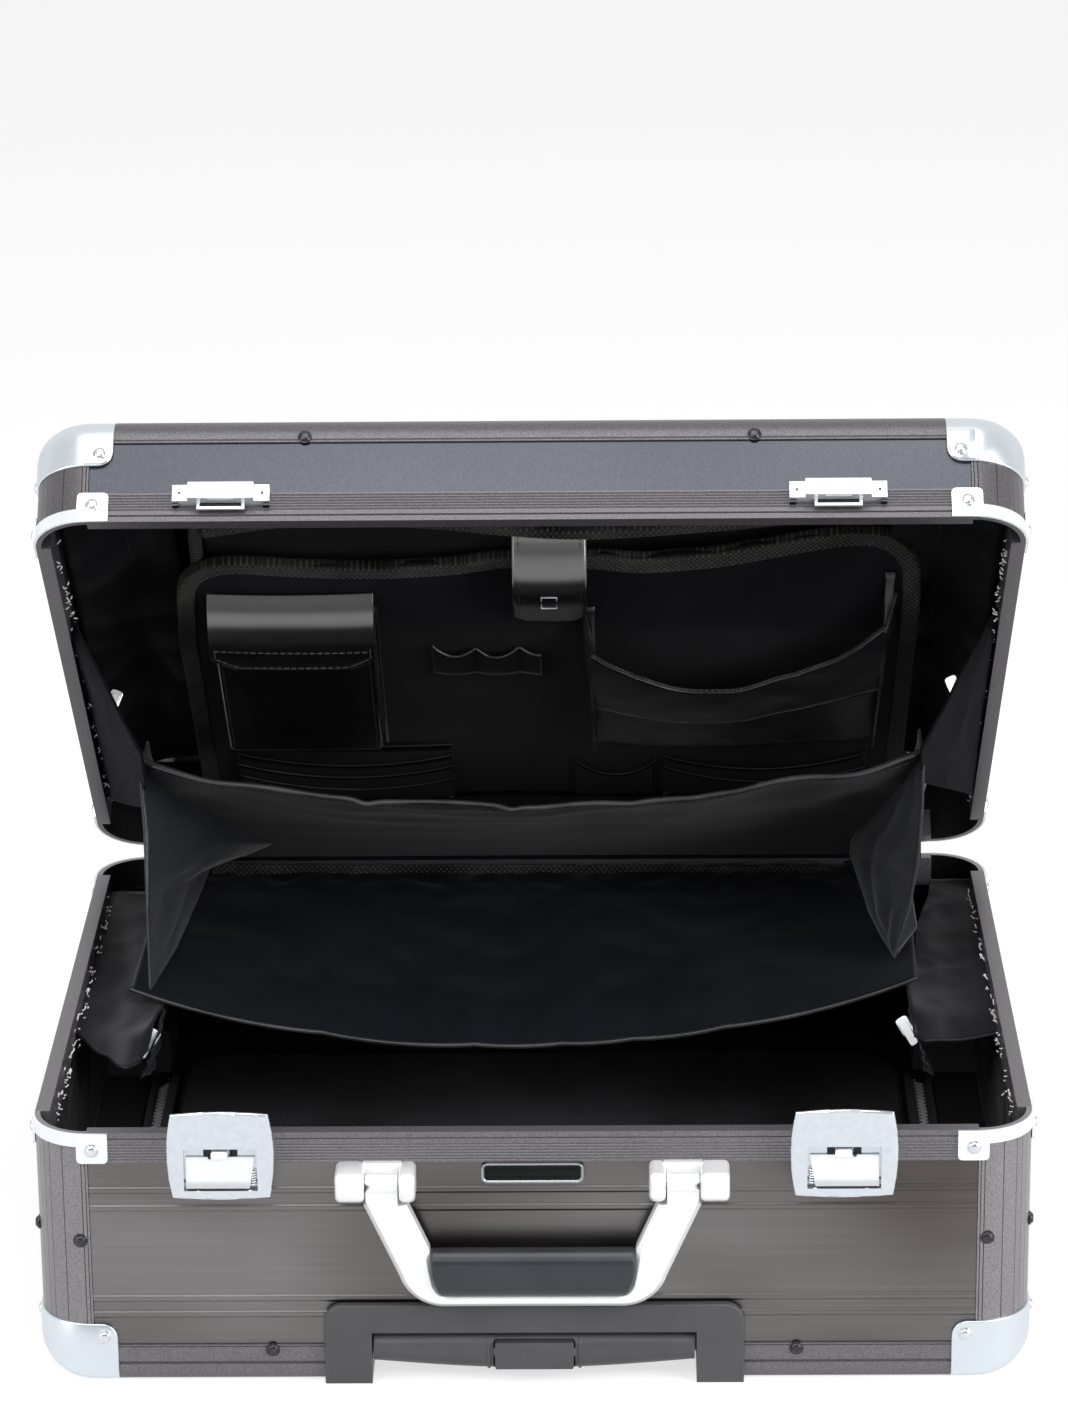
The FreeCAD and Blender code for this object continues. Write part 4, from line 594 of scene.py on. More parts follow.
def cutBack(obj):
    # a wide chamfer down the outer front edge of both arms of the handle
    edges = set()
    for face in obj.data.polygons:
        outward = face.normal.x * (1 if face.center.x > 0 else -1)
        if abs(face.normal.y) < armChamfer["sideways"] and outward > armChamfer["outward"]:
            edges.update(face.edge_keys)
    front = min(vertex.co.y for vertex in obj.data.vertices) + armChamfer["frontBand"]
    points = obj.data.vertices
    pick(obj, "EDGE", lambda c, d: False)
    mode("OBJECT")
    for edge in obj.data.edges:
        edge.select = edge.key in edges and all(points[i].co.y < front for i in edge.vertices)
    mode("EDIT")
    roundPicked(armChamfer["width"], 1)


def makeShellPieces():
    cuts = shellCuts
    for nodeName, (name, body, look, slotName, edge) in shellPieces.items():
        obj = copied(nodeName, name)
        if nodeName == "base_edge_rails":
            pick(obj, "FACE", lambda c, n: (c.y < cuts["railBehind"] and c.z < cuts["railTop"]
                                              and abs(c.x) < cuts["railHalf"]))
            bpy.ops.mesh.delete(type="FACE")
            mode("OBJECT")
        if nodeName == "trolley_bezel":
            roundEdges(obj, lambda c, d: abs(d.y) > 0.9 and c.z < 0.5 and abs(c.x) > cuts["footHalf"],
                       cuts["footRound"], 4)
        if nodeName == "bail_frame":
            cutBack(obj)
        soften(obj, edge, 3 if edge > 0.8 else 2)
        if nodeName == "base_edge_rails":
            obj = joined([obj] + frontRail(), name)
        settle(obj, body, look, [nodeName])


lug = {"back": -181.5, "front": -198.5, "low": 98.4, "high": 113.6, "outer": (78.3, 92.0),
       "inner": (54.4, 62.2),
       "nose": 4.2, "round": 2.6, "middle": 104, "edge": 0.5, "web": 3.0, "overlap": 1}


def makeBrackets():
    # two lugs and the web between them, each side of the carrying handle
    pieces = []
    for low, high in (lug["outer"], lug["inner"]):
        block = cube("bracketLug", (low, lug["front"], lug["low"]), (high, lug["back"], lug["high"]))
        nose, root = (lug["front"] + 0.5, lug["low"] + 0.6), lug["back"] - 0.5
        roundEdges(block, lambda c, d: abs(d.x) > 0.9 and c.y < nose[0] and c.z < nose[1], lug["nose"], 5)
        roundEdges(block, lambda c, d: c.y < root and not (c.z < lug["middle"] and abs(d.x) > 0.9),
                   lug["round"], 4)
        pieces.append(soften(block, lug["edge"], 2, 60))
    web = cube("bracketWeb", (lug["inner"][1] - lug["overlap"], lug["back"] - lug["web"], lug["low"]),
               (lug["outer"][0] + lug["overlap"], lug["back"], lug["high"]))
    pieces.append(web)
    right = joined(pieces, "bracketRight")
    settle(joined([right, mirrored(right)], "handleBrackets"), "base", "whiteMetal",
           ["bail_brackets"])


makeShellPieces()
makeBrackets()
print("panels, rails and plastic parts rounded")


# corner columns: rounded extrusions with fine lines down them
column = {"outer": 26.5, "wall": 2.6, "centre": (208.5, -155.0), "low": 30.0, "high": case["rim"],
          "rearLow": 52.0, "lidRise": 29.8, "inside": 0.6,
          "lines": (2.5, 6.5, 27, 44, 53, 62, 71, 84), "lineDepth": 0.45, "lineHalf": 0.55}


def lineInside(obj, look, shift=0.0):
    # the columns' inner faces carry the dark lining
    obj.data.materials.clear()
    obj.data.materials.append(finishes[look])
    obj.data.materials.append(finishes["baseLining"])
    limit = column["outer"] - column["wall"] + column["inside"]
    for face in obj.data.polygons:
        across = abs(face.center.x * 1000) - column["centre"][0]
        along = abs(face.center.y * 1000 - shift) + column["centre"][1]
        if abs(face.normal.z) < 0.5 and math.hypot(across, along) < limit:
            face.material_index = 1
    return obj


def makeColumns():
    def spot(angle, radius):
        turned = math.radians(angle)
        x, y = column["centre"]
        return Vector((x + radius * math.sin(turned), y - radius * math.cos(turned), column["low"]))

    outline = []
    steps = sorted(set(range(0, 91, 3)) | set(column["lines"]))
    for angle in steps:
        if angle in column["lines"]:
            outline.append(spot(angle - column["lineHalf"], column["outer"]))
            outline.append(spot(angle, column["outer"] - column["lineDepth"]))
            outline.append(spot(angle + column["lineHalf"], column["outer"]))
        elif all(abs(angle - line) > 1 for line in column["lines"]):
            outline.append(spot(angle, column["outer"]))
    outline += [spot(angle, column["outer"] - column["wall"]) for angle in range(90, -1, -6)]
    height = column["high"] - column["low"]
    first = traced("columnStart", outline, Vector((0, 0, height)))
    bpy.ops.object.shade_smooth_by_angle(angle=math.radians(20))
    low, rearLow = column["low"], column["rearLow"]
    front = twin(first, "frontColumn")
    rearShare = (column["high"] - rearLow) / height
    rear = twin(first, "rearColumn", (1, -1, rearShare), (0, 0, rearLow - low * rearShare))
    lidShare = column["lidRise"] / height
    lidPlace = (0, -case["halfDepth"], -low * lidShare)
    lidFront = twin(first, "lidColumn", (1, 1, lidShare), lidPlace)
    lidRear = twin(first, "lidRearColumn", (1, -1, lidShare), lidPlace)
    base = joined([front, rear, mirrored(front), mirrored(rear)], "baseColumns")
    settle(lineInside(base, "columnProfilePaintedLight"), "base", None, ["base_corner_columns"])
    lid = joined([lidFront, lidRear, mirrored(lidFront), mirrored(lidRear)], "lidColumns")
    lidPiece(lineInside(lid, "lidProfilePaintedShade", -case["halfDepth"]), None, "profile_grey", "lid_corner_columns")
    bpy.data.objects.remove(first)


makeColumns()


# ball corners: pressed shells, rounded both ways, with rounded free corners
ball = {"low": (197.2, -182.7, 0), "high": (236.2, -143.7, 30), "upright": 27.7, "foot": 16.0,
        "free": 7.5, "wall": 2.1, "rim": 0.7, "frontFoot": 5.4, "lidDepth": 29.4}
ballTab = {"from": 198.2, "to": 211.0, "proud": 0.7, "low": 13.0, "high": 29.3, "foot": 1.2, "corner": 5.5,
           "edge": 0.3}


def tightenFoot(shell, x2, y1):
    # the base's corners turn under sharply at the front and softly at the side
    foot, upright = ball["foot"], ball["upright"]
    centre = Vector((x2 - upright, y1 + upright, 0))
    for vertex in shell.data.vertices:
        p = vertex.co * 1000
        away = Vector((max(p.x - centre.x, 0), min(p.y - centre.y, 0), 0))
        inset = upright - away.length
        if p.z > foot + 0.1 or inset > foot + 0.5:
            continue
        away.normalize()
        share = math.atan2(away.x, -away.y) / (math.pi / 2)
        keep = ball["frontFoot"] / foot
        keep += (1 - keep) * share * share * (3 - 2 * share)
        p += away * inset * (1 - keep)
        vertex.co = Vector((p.x, p.y, p.z * keep)) / 1000


def makeBallCorners():
    (x1, y1, z1), (x2, y2, z2) = ball["low"], ball["high"]
    shell = cube("ballCorner", ball["low"], ball["high"])
    roundEdges(shell, lambda c, d: abs(c.x - x2) < 0.1 and abs(c.y - y1) < 0.1, ball["upright"], 10)
    roundEdges(shell, lambda c, d: abs(c.z - z1) < 0.1 and c.x > x1 + 0.1 and c.y < y2 - 0.1, ball["foot"],
               7)
    pick(shell, "FACE", lambda c, n: n.x < -0.99 or n.y > 0.99 or n.z > 0.99)
    bpy.ops.mesh.delete(type="FACE")
    mode("OBJECT")
    pick(shell, "VERT", lambda v: (v - Vector((x1, y1, z2))).length < 0.3 or (v - Vector((x2, y2,
                                                                                          z2))).length < 0.3)
    roundPicked(ball["free"], 6, True)
    low = twin(shell, "ballRight")
    tightenFoot(low, x2, y1)
    for piece in (shell, low):
        applied(piece, "SOLIDIFY", thickness=ball["wall"] / 1000, offset=-1)
        soften(piece, ball["rim"], 3, 50)
    settle(joined([low, mirrored(low)], "baseBallCorners"), "base", "fitting",
           ["base_ball_corners"])
    # the lid's corners have a raised step round the rivet
    t = ballTab
    step = cube("ballStep", (t["from"], y1 - t["proud"], t["low"]), (t["to"], y1 + 0.5, t["high"]))
    roundEdges(step, lambda c, d: abs(d.y) > 0.9 and c.z < t["low"] + 1, t["foot"])
    roundEdges(step, lambda c, d: abs(d.y) > 0.9 and c.z > t["low"] + 7 and c.x < t["from"] + 1,
               t["corner"], 4)
    soften(step, t["edge"])
    corner = joined([shell, step], "lidBall")
    share, lidPlace = ball["lidDepth"] / z2, (0, -case["halfDepth"], case["lidHeight"])
    front = twin(corner, "lidFrontBall", (1, 1, -share), lidPlace)
    rear = twin(corner, "lidRearBall", (1, -1, -share), lidPlace)
    lid = joined([front, rear, mirrored(front), mirrored(rear)], "lidBallCorners")
    lidPiece(lid, "fitting", "satin_silver", "lid_ball_corners")
    bpy.data.objects.remove(corner)


makeBallCorners()


# rim brackets: bright strips round the rim's corners, with rounded riveted tabs
rimTab = {"fromCorner": 36.4, "half": 15.2, "beyond": 12, "corner": 2.2, "edge": 0.28}


def makeRimBrackets():
    r = rimTab
    tabX, depth = case["halfWidth"] - r["fromCorner"], 2 * case["halfDepth"]

    def tabCorner(c, d):
        # edges across the sheet at the ends of the tabs, in the shut case
        onFront = abs(d.y) > 0.9 and abs(abs(c.x) - tabX) < r["half"]
        onSide = abs(d.x) > 0.9 and any(abs(c.y + y) < r["half"] for y in (depth - r["fromCorner"],
                                                                           r["fromCorner"]))
        return (onFront or onSide) and abs(c.z) > r["beyond"]

    baseToShut = Matrix.Translation((0, -case["halfDepth"] / 1000, -case["rim"] / 1000))
    for body, toShut in (("base", baseToShut), ("lid", lidMatrix.inverted())):
        obj = copied(body + "_rim_brackets", body + "RimBrackets")
        obj.data.transform(toShut)
        pick(obj, "EDGE", tabCorner)
        roundPicked(r["corner"], 3)
        soften(obj, r["edge"])
        obj.data.transform(toShut.inverted())
        settle(obj, body, "bright", [body + "_rim_brackets"])


makeRimBrackets()


# rivets: one domed head with its ring, copied to every place
rivet = {"ring": 3.4, "ringHeight": 0.4, "dome": 2.7, "domeHeight": 1.5, "sink": 0.5, "seat": 0.1,
         "steps": ((0.97, 0.3), (0.88, 0.3), (0.7, 0.2), (0.4, 0.1)), "edge": 0.15}
basePlaces = {
    "silver": [("front", 206.1, 182.7, 119.7), ("side", 236.2, 152.6, 119.7), ("rear", 206.1, 182.7, 119.7),
               ("sideRear", 236.2, 152.6, 119.7), ("front", 203.5, 182.7, 23.5), ("side", 236.2, 150.0,
                                                                                  23.5)],
    "dark": [("front", 213.2, 181.2, 73.0), ("side", 234.8, 159.7, 73.0), ("rear", 213.2, 181.2, 73.0),
             ("sideRear", 234.8, 159.7, 73.0), ("front", 124.0, 181.5, 16.0), ("rear", 124.0, 181.5, 16.0)],
}
lidPlaces = {
    "silver": [("front", 206.1, 182.7, 8.4), ("side", 236.2, 152.6, 8.4), ("rear", 206.1, 182.7, 8.4),
               ("sideRear", 236.2, 152.6, 8.4), ("front", 203.5, 183.3, 35.7), ("side", 236.2, 150.0, 35.7),
               ("rear", 203.5, 183.3, 35.7), ("sideRear", 236.2, 150.0, 35.7)],
    "dark": [("front", 106.5, 181.5, 45.1), ("rear", 106.5, 181.5, 45.1)],
}


def makeRivets():
    alone(None)
    bpy.ops.mesh.primitive_cylinder_add(vertices=24, radius=rivet["ring"] / 1000,
                                        depth=(rivet["ringHeight"] + rivet["sink"]) / 1000)
    head = bpy.context.object
    head.data.transform(Matrix.Translation((0, 0, (rivet["ringHeight"] - rivet["sink"]) / 2000)))
    pick(head, "FACE", lambda c, n: n.z > 0.9)
    bpy.ops.mesh.inset(thickness=(rivet["ring"] - rivet["dome"]) / 1000, depth=rivet["seat"] / 1000)
    for share, rise in rivet["steps"]:
        bpy.ops.mesh.extrude_region_move(
            TRANSFORM_OT_translate={"value": (0, 0, rise * rivet["domeHeight"] / 1000)})
        bpy.ops.transform.resize(value=(share, share, 1))
    mode("OBJECT")
    soften(head, rivet["edge"], 2, 60)
    turns = {"front": (90, 0), "rear": (-90, 0), "side": (0, 90), "sideRear": (0, 90)}
    for body, places, onLid in (("base", basePlaces, False), ("lid", lidPlaces, True)):
        for tone, spots in places.items():
            group = []
            for kind, far, deep, level in spots:
                y = deep if kind in ("rear", "sideRear") else -deep
                for sign in (1, -1):
                    copy = twin(head, "rivetHead")
                    tiltX, tiltY = turns[kind]
                    turned = Matrix.Rotation(math.radians(tiltX), 4, "X") @ Matrix.Rotation(
                        math.radians(tiltY * sign), 4, "Y")
                    shift = (sign * far, y - (case["halfDepth"] if onLid else 0), level)
                    copy.matrix_world = Matrix.Translation(Vector(shift) / 1000) @ turned
                    alone(copy)
                    applyPlace()
                    group.append(copy)
            replaced = [] if tone == "dark" else [body + "_rivets"]
            settle(joined(group, body + tone.capitalize() + "Rivets"), body,
                   "rivetSilver" if tone == "silver" else "darkRivet",
                   replaced, onLid)
    bpy.data.objects.remove(head)


makeRivets()
print("columns, ball corners, brackets and rivets made")


# carrying handle: rubber grip with full rounded ends
grip = {"half": 48.0, "low": 48.9, "high": 72.6, "front": -198.0, "back": -184.1, "slope": 4.5, "round": 6.6,
        "waist": 12, "tuck": 0.5, "edge": 1.4}


def makeHandleGrip():
    g = grip
    waist = g["low"] + g["waist"]
    outline = [(-g["half"] + g["slope"], g["low"]), (g["half"] - g["slope"], g["low"]),
               (g["half"] - g["tuck"], waist), (g["half"], g["high"]), (-g["half"], g["high"]),
               (-g["half"] + g["tuck"], waist)]
    body = traced("handleGrip", [Vector((x, g["back"], z)) for x, z in outline],
                  Vector((0, g["front"] - g["back"], 0)))
    roundEdges(body, lambda c, d: abs(d.x) > 0.9, g["round"], 6)
    soften(body, g["edge"], 4, 40)
    settle(body, "bail", "rubber", ["bail_grip"])


makeHandleGrip()


# bare plate between the brackets: a bevelled silver rim round a dark field
plate = {"half": 24.0, "low": 102.6, "high": 112.7, "front": -183.6, "back": -181.0, "corner": 3.0,
         "rim": 0.9, "field": 0.7, "bevel": 0.4, "edge": 0.3}


def makePlate():
    p = plate
    body = cube("barePlate", (-p["half"], p["front"], p["low"]), (p["half"], p["back"], p["high"]))
    roundEdges(body, lambda c, d: abs(d.y) > 0.9, p["corner"], 5)
    pick(body, "FACE", lambda c, n: n.y < -0.9)
    bpy.ops.mesh.inset(thickness=p["rim"] / 1000)
    bpy.ops.mesh.inset(thickness=p["bevel"] / 1000, depth=-p["field"] / 1000)
    mode("OBJECT")
    inner = [face.index for face in body.data.polygons if face.select]
    body.data.materials.append(finishes["steel"])
    body.data.materials.append(finishes["darkPlate"])
    for index in inner:
        body.data.polygons[index].material_index = 1
    soften(body, p["edge"], 2, 40)
    settle(body, "base", None, ["name_plate"])


makePlate()


# trolley grip: two rounded bars that meet at the button
pull = {"half": 75.9, "gap": 21.0, "top": 25.0, "endLow": 9.6, "middleLow": 5.2, "front": -185.4,
        "back": -168.5, "round": 7.6, "lip": 1.6, "edge": 0.8, "steps": 16}
bay = {"low": 6.6, "high": 22.2, "deep": 8.2, "proud": 3, "round": 1.5}
collar = {"low": 5.2, "high": 24.6, "inner": 0.3, "outer": 1.4, "proud": 0.5, "round": 7.4, "edge": 0.6}


def makeTrolleyGrip():
    p = pull
    outline = []
    for k in range(p["steps"] + 1):
        share = k / p["steps"]
        low = p["endLow"] - (p["endLow"] - p["middleLow"]) * math.sin(math.pi * share)
        outline.append(Vector((p["half"] * (2 * share - 1), p["back"], low)))
    outline += [Vector((x, p["back"], p["top"])) for x in (p["half"], -p["half"])]
    bar = traced("trolleyGrip", outline, Vector((0, p["front"] - p["back"], 0)))
    roundEdges(bar, lambda c, d: c.y < p["front"] + 0.5 and abs(d.x) > 0.5, p["round"], 8)
    # the button's bay, with a raised collar each side of it
    half = p["gap"] - p["lip"]
    hollow = cube("buttonBay", (-half, p["front"] - bay["proud"], bay["low"]),
                  (half, p["front"] + bay["deep"], bay["high"]))
    roundEdges(hollow, lambda c, d: abs(d.y) > 0.9, bay["round"])
    applied(bar, "BOOLEAN", operation="DIFFERENCE", object=hollow, solver="EXACT")
    bpy.data.objects.remove(hollow)
    soften(bar, p["edge"], 3, 40)
    collars = [bar]
    for sign in (-1, 1):
        low, high = sorted((sign * (p["gap"] - collar["inner"]), sign * (p["gap"] + collar["outer"])))
        ring = cube("gripCollar", (low, p["front"] - collar["proud"], collar["low"]),
                    (high, p["back"], collar["high"]))
        roundEdges(ring, lambda c, d: abs(d.x) > 0.9 and c.y < p["front"] + 1, collar["round"], 7)
        collars.append(soften(ring, collar["edge"], 3))
    bar = joined(collars, "trolleyGrip")
    settle(bar, "trolley_inner", "plastic", ["trolley_grip"])


makeTrolleyGrip()


# wheels: rubber tread spun round a dished hub
wheel = {"profile": [(3.3, 6.5), (7, 6.5), (9, 4.5), (14, 4.5), (15.5, 7.5), (18.5, 7.9), (19, 8.8),
                     (22.4, 8.2),
                     (23.6, 5.5), (24, 0), (23.6, -5.5), (22.4, -8.2), (19, -8.8), (18.5, -7.9), (15.5,
                                                                                                  -7.5),
                     (14, -4.5), (9, -4.5), (7, -6.5), (3.3, -6.5)],
         "centre": (212.2, 175.5, 25.0), "steps": 48, "edge": 0.3}


def makeWheels():
    x, y, z = wheel["centre"]
    for side, sign in (("left", -1), ("right", 1)):
        points = [Vector((sign * x + across, y, z + out)) for out, across in wheel["profile"]]
        obj = chained(side + "RubberWheel", points + points[:1])
        bpy.ops.mesh.remove_doubles(threshold=0.00001)
        bpy.ops.mesh.spin(steps=wheel["steps"], angle=math.tau,
                          center=(sign * x / 1000, y / 1000, z / 1000), axis=(1, 0, 0))
        pickAll()
        bpy.ops.mesh.remove_doubles(threshold=0.00002)
        bpy.ops.mesh.normals_make_consistent(inside=False)
        mode("OBJECT")
        soften(obj, wheel["edge"], 2, 35)
        settle(obj, side + "_roller", "wheelRubber", [side + "_wheel"])


makeWheels()
print("latch flaps, handle, plate, trolley grip and wheels made")


# cloth helpers
def through(points, x):
    # height at x of a soft line through the given points
    if x <= points[0][0]:
        return points[0][1]
    for (a, first), (b, second) in zip(points, points[1:]):
        if x <= b:
            t = (x - a) / (b - a)
            return first + (second - first) * t * t * (3 - 2 * t)
    return points[-1][1]


def curved(points, x):
    # the same without flat spots: the slope at each point follows its neighbours
    k = 0
    while k < len(points) - 2 and x > points[k + 1][0]:
        k += 1
    (a, first), (b, second) = points[k], points[k + 1]
    before, after = points[max(k - 1, 0)], points[min(k + 2, len(points) - 1)]
    t = min(max((x - a) / (b - a), 0), 1)
    start = (second - before[1]) / (b - before[0]) * (b - a)
    end = (after[1] - first) / (after[0] - a) * (b - a)
    return (first * (2 * t ** 3 - 3 * t * t + 1) + start * (t ** 3 - 2 * t * t + t)
            + second * (3 * t * t - 2 * t ** 3) + end * (t ** 3 - t * t))


def eased(x):
    t = min(max(x, 0), 1)
    return t * t * (3 - 2 * t)


def crease(x, y, size, deep, seed=0.0):
    # soft dents between sharper ridges, as loose cloth has, in millimetres
    return deep * (0.35 - abs(noise.noise(Vector((x / size, y / size, seed)))) * 1.6)


def cloth(name, columns, rows, place, thick):
    # a sheet laid out as a grid, shaped by place, and given its thickness
    alone(None)
    bpy.ops.mesh.primitive_grid_add(x_subdivisions=columns, y_subdivisions=rows, size=2)
    obj = bpy.context.object
    obj.name = name
    for vertex in obj.data.vertices:
        vertex.co = place((vertex.co.x + 1) / 2, (vertex.co.y + 1) / 2) / 1000
    applied(obj, "SOLIDIFY", thickness=thick / 1000, offset=0)
    bpy.ops.object.shade_smooth()
    return obj


def cord(name, paths, radius, stitch=0.0, gap=0.0, sides=2):
    # piping, cords and seams along paths, cut into stitches where a stitch length is given
    data = bpy.data.curves.new(name, "CURVE")
    data.dimensions = "3D"
    data.bevel_depth = radius / 1000
    data.bevel_resolution = sides
    data.use_fill_caps = True
    for path in paths:
        runs = dashes(path, stitch, gap) if stitch else [path]
        for run in runs:
            spline = data.splines.new("POLY")
            spline.points.add(len(run) - 1)
            for point, place in zip(spline.points, run):
                point.co = (*(place / 1000), 1)
    obj = bpy.data.objects.new(name, data)
    bpy.context.scene.collection.objects.link(obj)
    alone(obj)
    bpy.ops.object.convert(target="MESH")
    bpy.ops.object.shade_smooth()
    return obj


def dashes(path, stitch, gap):
    runs, run, used = [], [path[0]], 0.0
    for a, b in zip(path, path[1:]):
        length, along = (b - a).length, 0.0
        while length - along > 1e-6:
            inStitch = used < stitch
            step = min(length - along, (stitch if inStitch else stitch + gap) - used)
            along, used = along + step, used + step
            here = a.lerp(b, along / length)
            if inStitch:
                run.append(here)
                if used >= stitch - 1e-6:
                    runs.append(run)
            if used >= stitch + gap - 1e-6:
                run, used = [here], 0.0
    return runs


def smoothPath(points, steps=5):
    # more points on a smooth line through the given ones
    path = []
    count = len(points)
    for i in range(count - 1):
        a, b, c, d = (points[min(max(k, 0), count - 1)] for k in (i - 1, i, i + 1, i + 2))
        for k in range(steps):
            t = k / steps
            path.append(0.5 * (2 * b + (c - a) * t + (2 * a - 5 * b + 4 * c - d) * t * t
                               + (3 * b - a - 3 * c + d) * t * t * t))
    return path + [points[-1]]


def lidAt(x, reach, depth):
    # a place in the shut lid, moved to the open lid when the piece is settled
    return Vector((x, -reach, depth))


# latches: a concave flap with one slanted side, a bridge over it, and the spring and feet beside it
latch = {"centre": 145.3, "low": 103.7, "high": 119.2, "front": -190.3, "hollow": 1.3, "skin": 1.0,
         "outer": 16.3, "innerTop": 16.2, "innerLow": 13.4, "lip": 1.2, "lipFrom": 0.55}
# the bridge stands the same way on both sides; elsewhere x runs from the latch's middle to the case's middle
latchFittings = {"bridge": ((-4.4, -191.2, 118.6), (3.6, -188.4, 122.6)), "bridgeRound": 1.3,
                 "hole": ((-4.9, -190.9, 119.6), (-4.9, -189.2, 119.6)), "holeRadius": 0.85,
                 "slit": ((-15.5, -190.75, 103.25), (11.0, -190.75, 103.25)), "slitRadius": 0.3,
                 "feet": (-10.6, 13.6), "footHalf": 0.9, "footFront": -190.9, "footBack": -189.6,
                 "footLow": 101.5, "footHigh": 103.0}
latchSpring = {"centre": (15.4, -189.2, 104.6), "radius": 1.0, "turn": 0.7, "rise": 0.14, "points": 58,
               "wire": 0.33}
# blocks on each keeper, in the shut lid: middles, half width, depths, levels and edge round
keeperBlocks = {"slot": ((0,), 9.6, (-184.2, -181.4), (5.7, 8.9), 0.4),
                "dimple": ((-19.5, 19.5), 0.7, (-186.15, -185.7), (12.0, 13.6), 0.2),
                "foot": ((-21.4, 21.4), 1.5, (-184.4, -181.4), (7.1, 8.6), 0),
                "step": ((0,), 6.4, (-188.2, -186.0), (8.4, 10.6), 0.5)}


def keeperBlock(kind, centre):
    middles, half, (front, back), (low, high), edge = keeperBlocks[kind]
    blocks = []
    for middle in middles:
        x = centre + middle
        block = cube("keeper" + kind.capitalize(), (x - half, front, low), (x + half, back, high))
        if edge:
            soften(block, edge, 3 if kind == "step" else 2)
        blocks.append(block)
    return blocks


def makeLatches():
    p, f, coil = latch, latchFittings, latchSpring
    for side, sign in (("left", -1), ("right", 1)):
        centre = sign * p["centre"]

        def at(x, y, z):
            return Vector((centre - sign * x, y, z))

        def place(s, t):
            inner = p["innerLow"] + (p["innerTop"] - p["innerLow"]) * t
            x = -p["outer"] + (p["outer"] + inner) * s
            lip = p["lip"] * eased((t - p["lipFrom"]) / (1 - p["lipFrom"]))
            y = p["front"] + p["hollow"] * math.sin(math.pi * t) ** 0.8 + lip
            return at(x, y, p["low"] + (p["high"] - p["low"]) * t)

        flap = cloth(side + "FlapPlate", 6, 20, place, p["skin"])
        soften(flap, 0.2, 2, 60)
        settle(flap, side + "_flap", "bright", [side + "_latch_flap"])
        bridge = cube(side + "Bridge", *(Vector(corner) + Vector((centre, 0, 0)) for corner in f["bridge"]))
        roundEdges(bridge, lambda c, d: abs(d.y) > 0.9, f["bridgeRound"], 3)
        soften(bridge, 0.35)
        settle(cord(side + "BridgeHole", [[at(*spot) for spot in f["hole"]]], f["holeRadius"]), "base",
               "darkRivet")
        x, y, z = coil["centre"]
        turns = [(k * coil["turn"], k * coil["rise"]) for k in range(coil["points"])]
        turns = [at(x + coil["radius"] * math.cos(turn), y + coil["radius"] * math.sin(turn), z + rise)
                 for turn, rise in turns]
        fittings = [bridge, cord(side + "FlapSpring", [turns], coil["wire"], sides=1)]
        for x in f["feet"]:
            middle = centre - sign * x
            foot = cube("latchFoot", (middle - f["footHalf"], f["footFront"], f["footLow"]),
                        (middle + f["footHalf"], f["footBack"], f["footHigh"]))
            fittings.append(soften(foot, 0.3))
        settle(joined(fittings, side + "LatchFittings"), "base", "bright")
        settle(cord(side + "LatchSlit", [[at(*spot) for spot in f["slit"]]], f["slitRadius"], sides=1),
               "base", "darkRivet")
        # keeper on the lid: the slot behind its loop, its dimples and the bridge's step
        dark = joined([block for kind in ("slot", "dimple", "foot") for block in keeperBlock(kind, centre)],
                      side + "KeeperSlot")
        step = joined(keeperBlock("step", centre), side + "KeeperStep")
        for piece, look, slotName in ((dark, "darkRivet", "dark_rivet"), (step, "bright", "polished_metal")):
            piece.data.transform(Matrix.Translation((0, -case["halfDepth"] / 1000, 0)))
            lidPiece(piece, look, slotName)


makeLatches()


# organiser: a stiff nylon-covered board with a woven binding, and a second one behind it
organiser = {
    "edge": [(-178, 207.8), (-177, 231.3), (-175.4, 242.5), (-171.5, 250.9), (-163.3, 259),
             (-147.4, 263.6), (-113.9, 260.6), (-80.1, 259.4), (-43.1, 262.4), (-9.1, 269.1),
             (25.9, 262.2), (55.1, 253), (85.9, 253.6), (116.6, 259.7), (138.1, 264.4), (156.2, 267.2),
             (171.7, 265.5), (182.5, 258.4), (189.7, 246.8), (191.6, 230.8)],
    "foot": 8.0, "face": 25.4, "board": 4.6, "lean": 21.0, "leanFrom": 196, "leanOver": 90, "tape": 8.5,
    "bow": 1.2, "bowFrom": -176, "bowWidth": 362, "sides": (60, 120, 190),
}


def organiserFace(x, reach):
    # the board leans back towards its top, more at the right
    o = organiser
    lean = eased((reach - o["leanFrom"]) / o["leanOver"]) * (0.3 + 0.7 * eased((x + 10) / o["leanOver"]))
    bow = o["bow"] * math.sin(math.pi * (x - o["bowFrom"]) / o["bowWidth"]) * eased(reach / 120)
    return o["face"] + o["lean"] * lean - bow


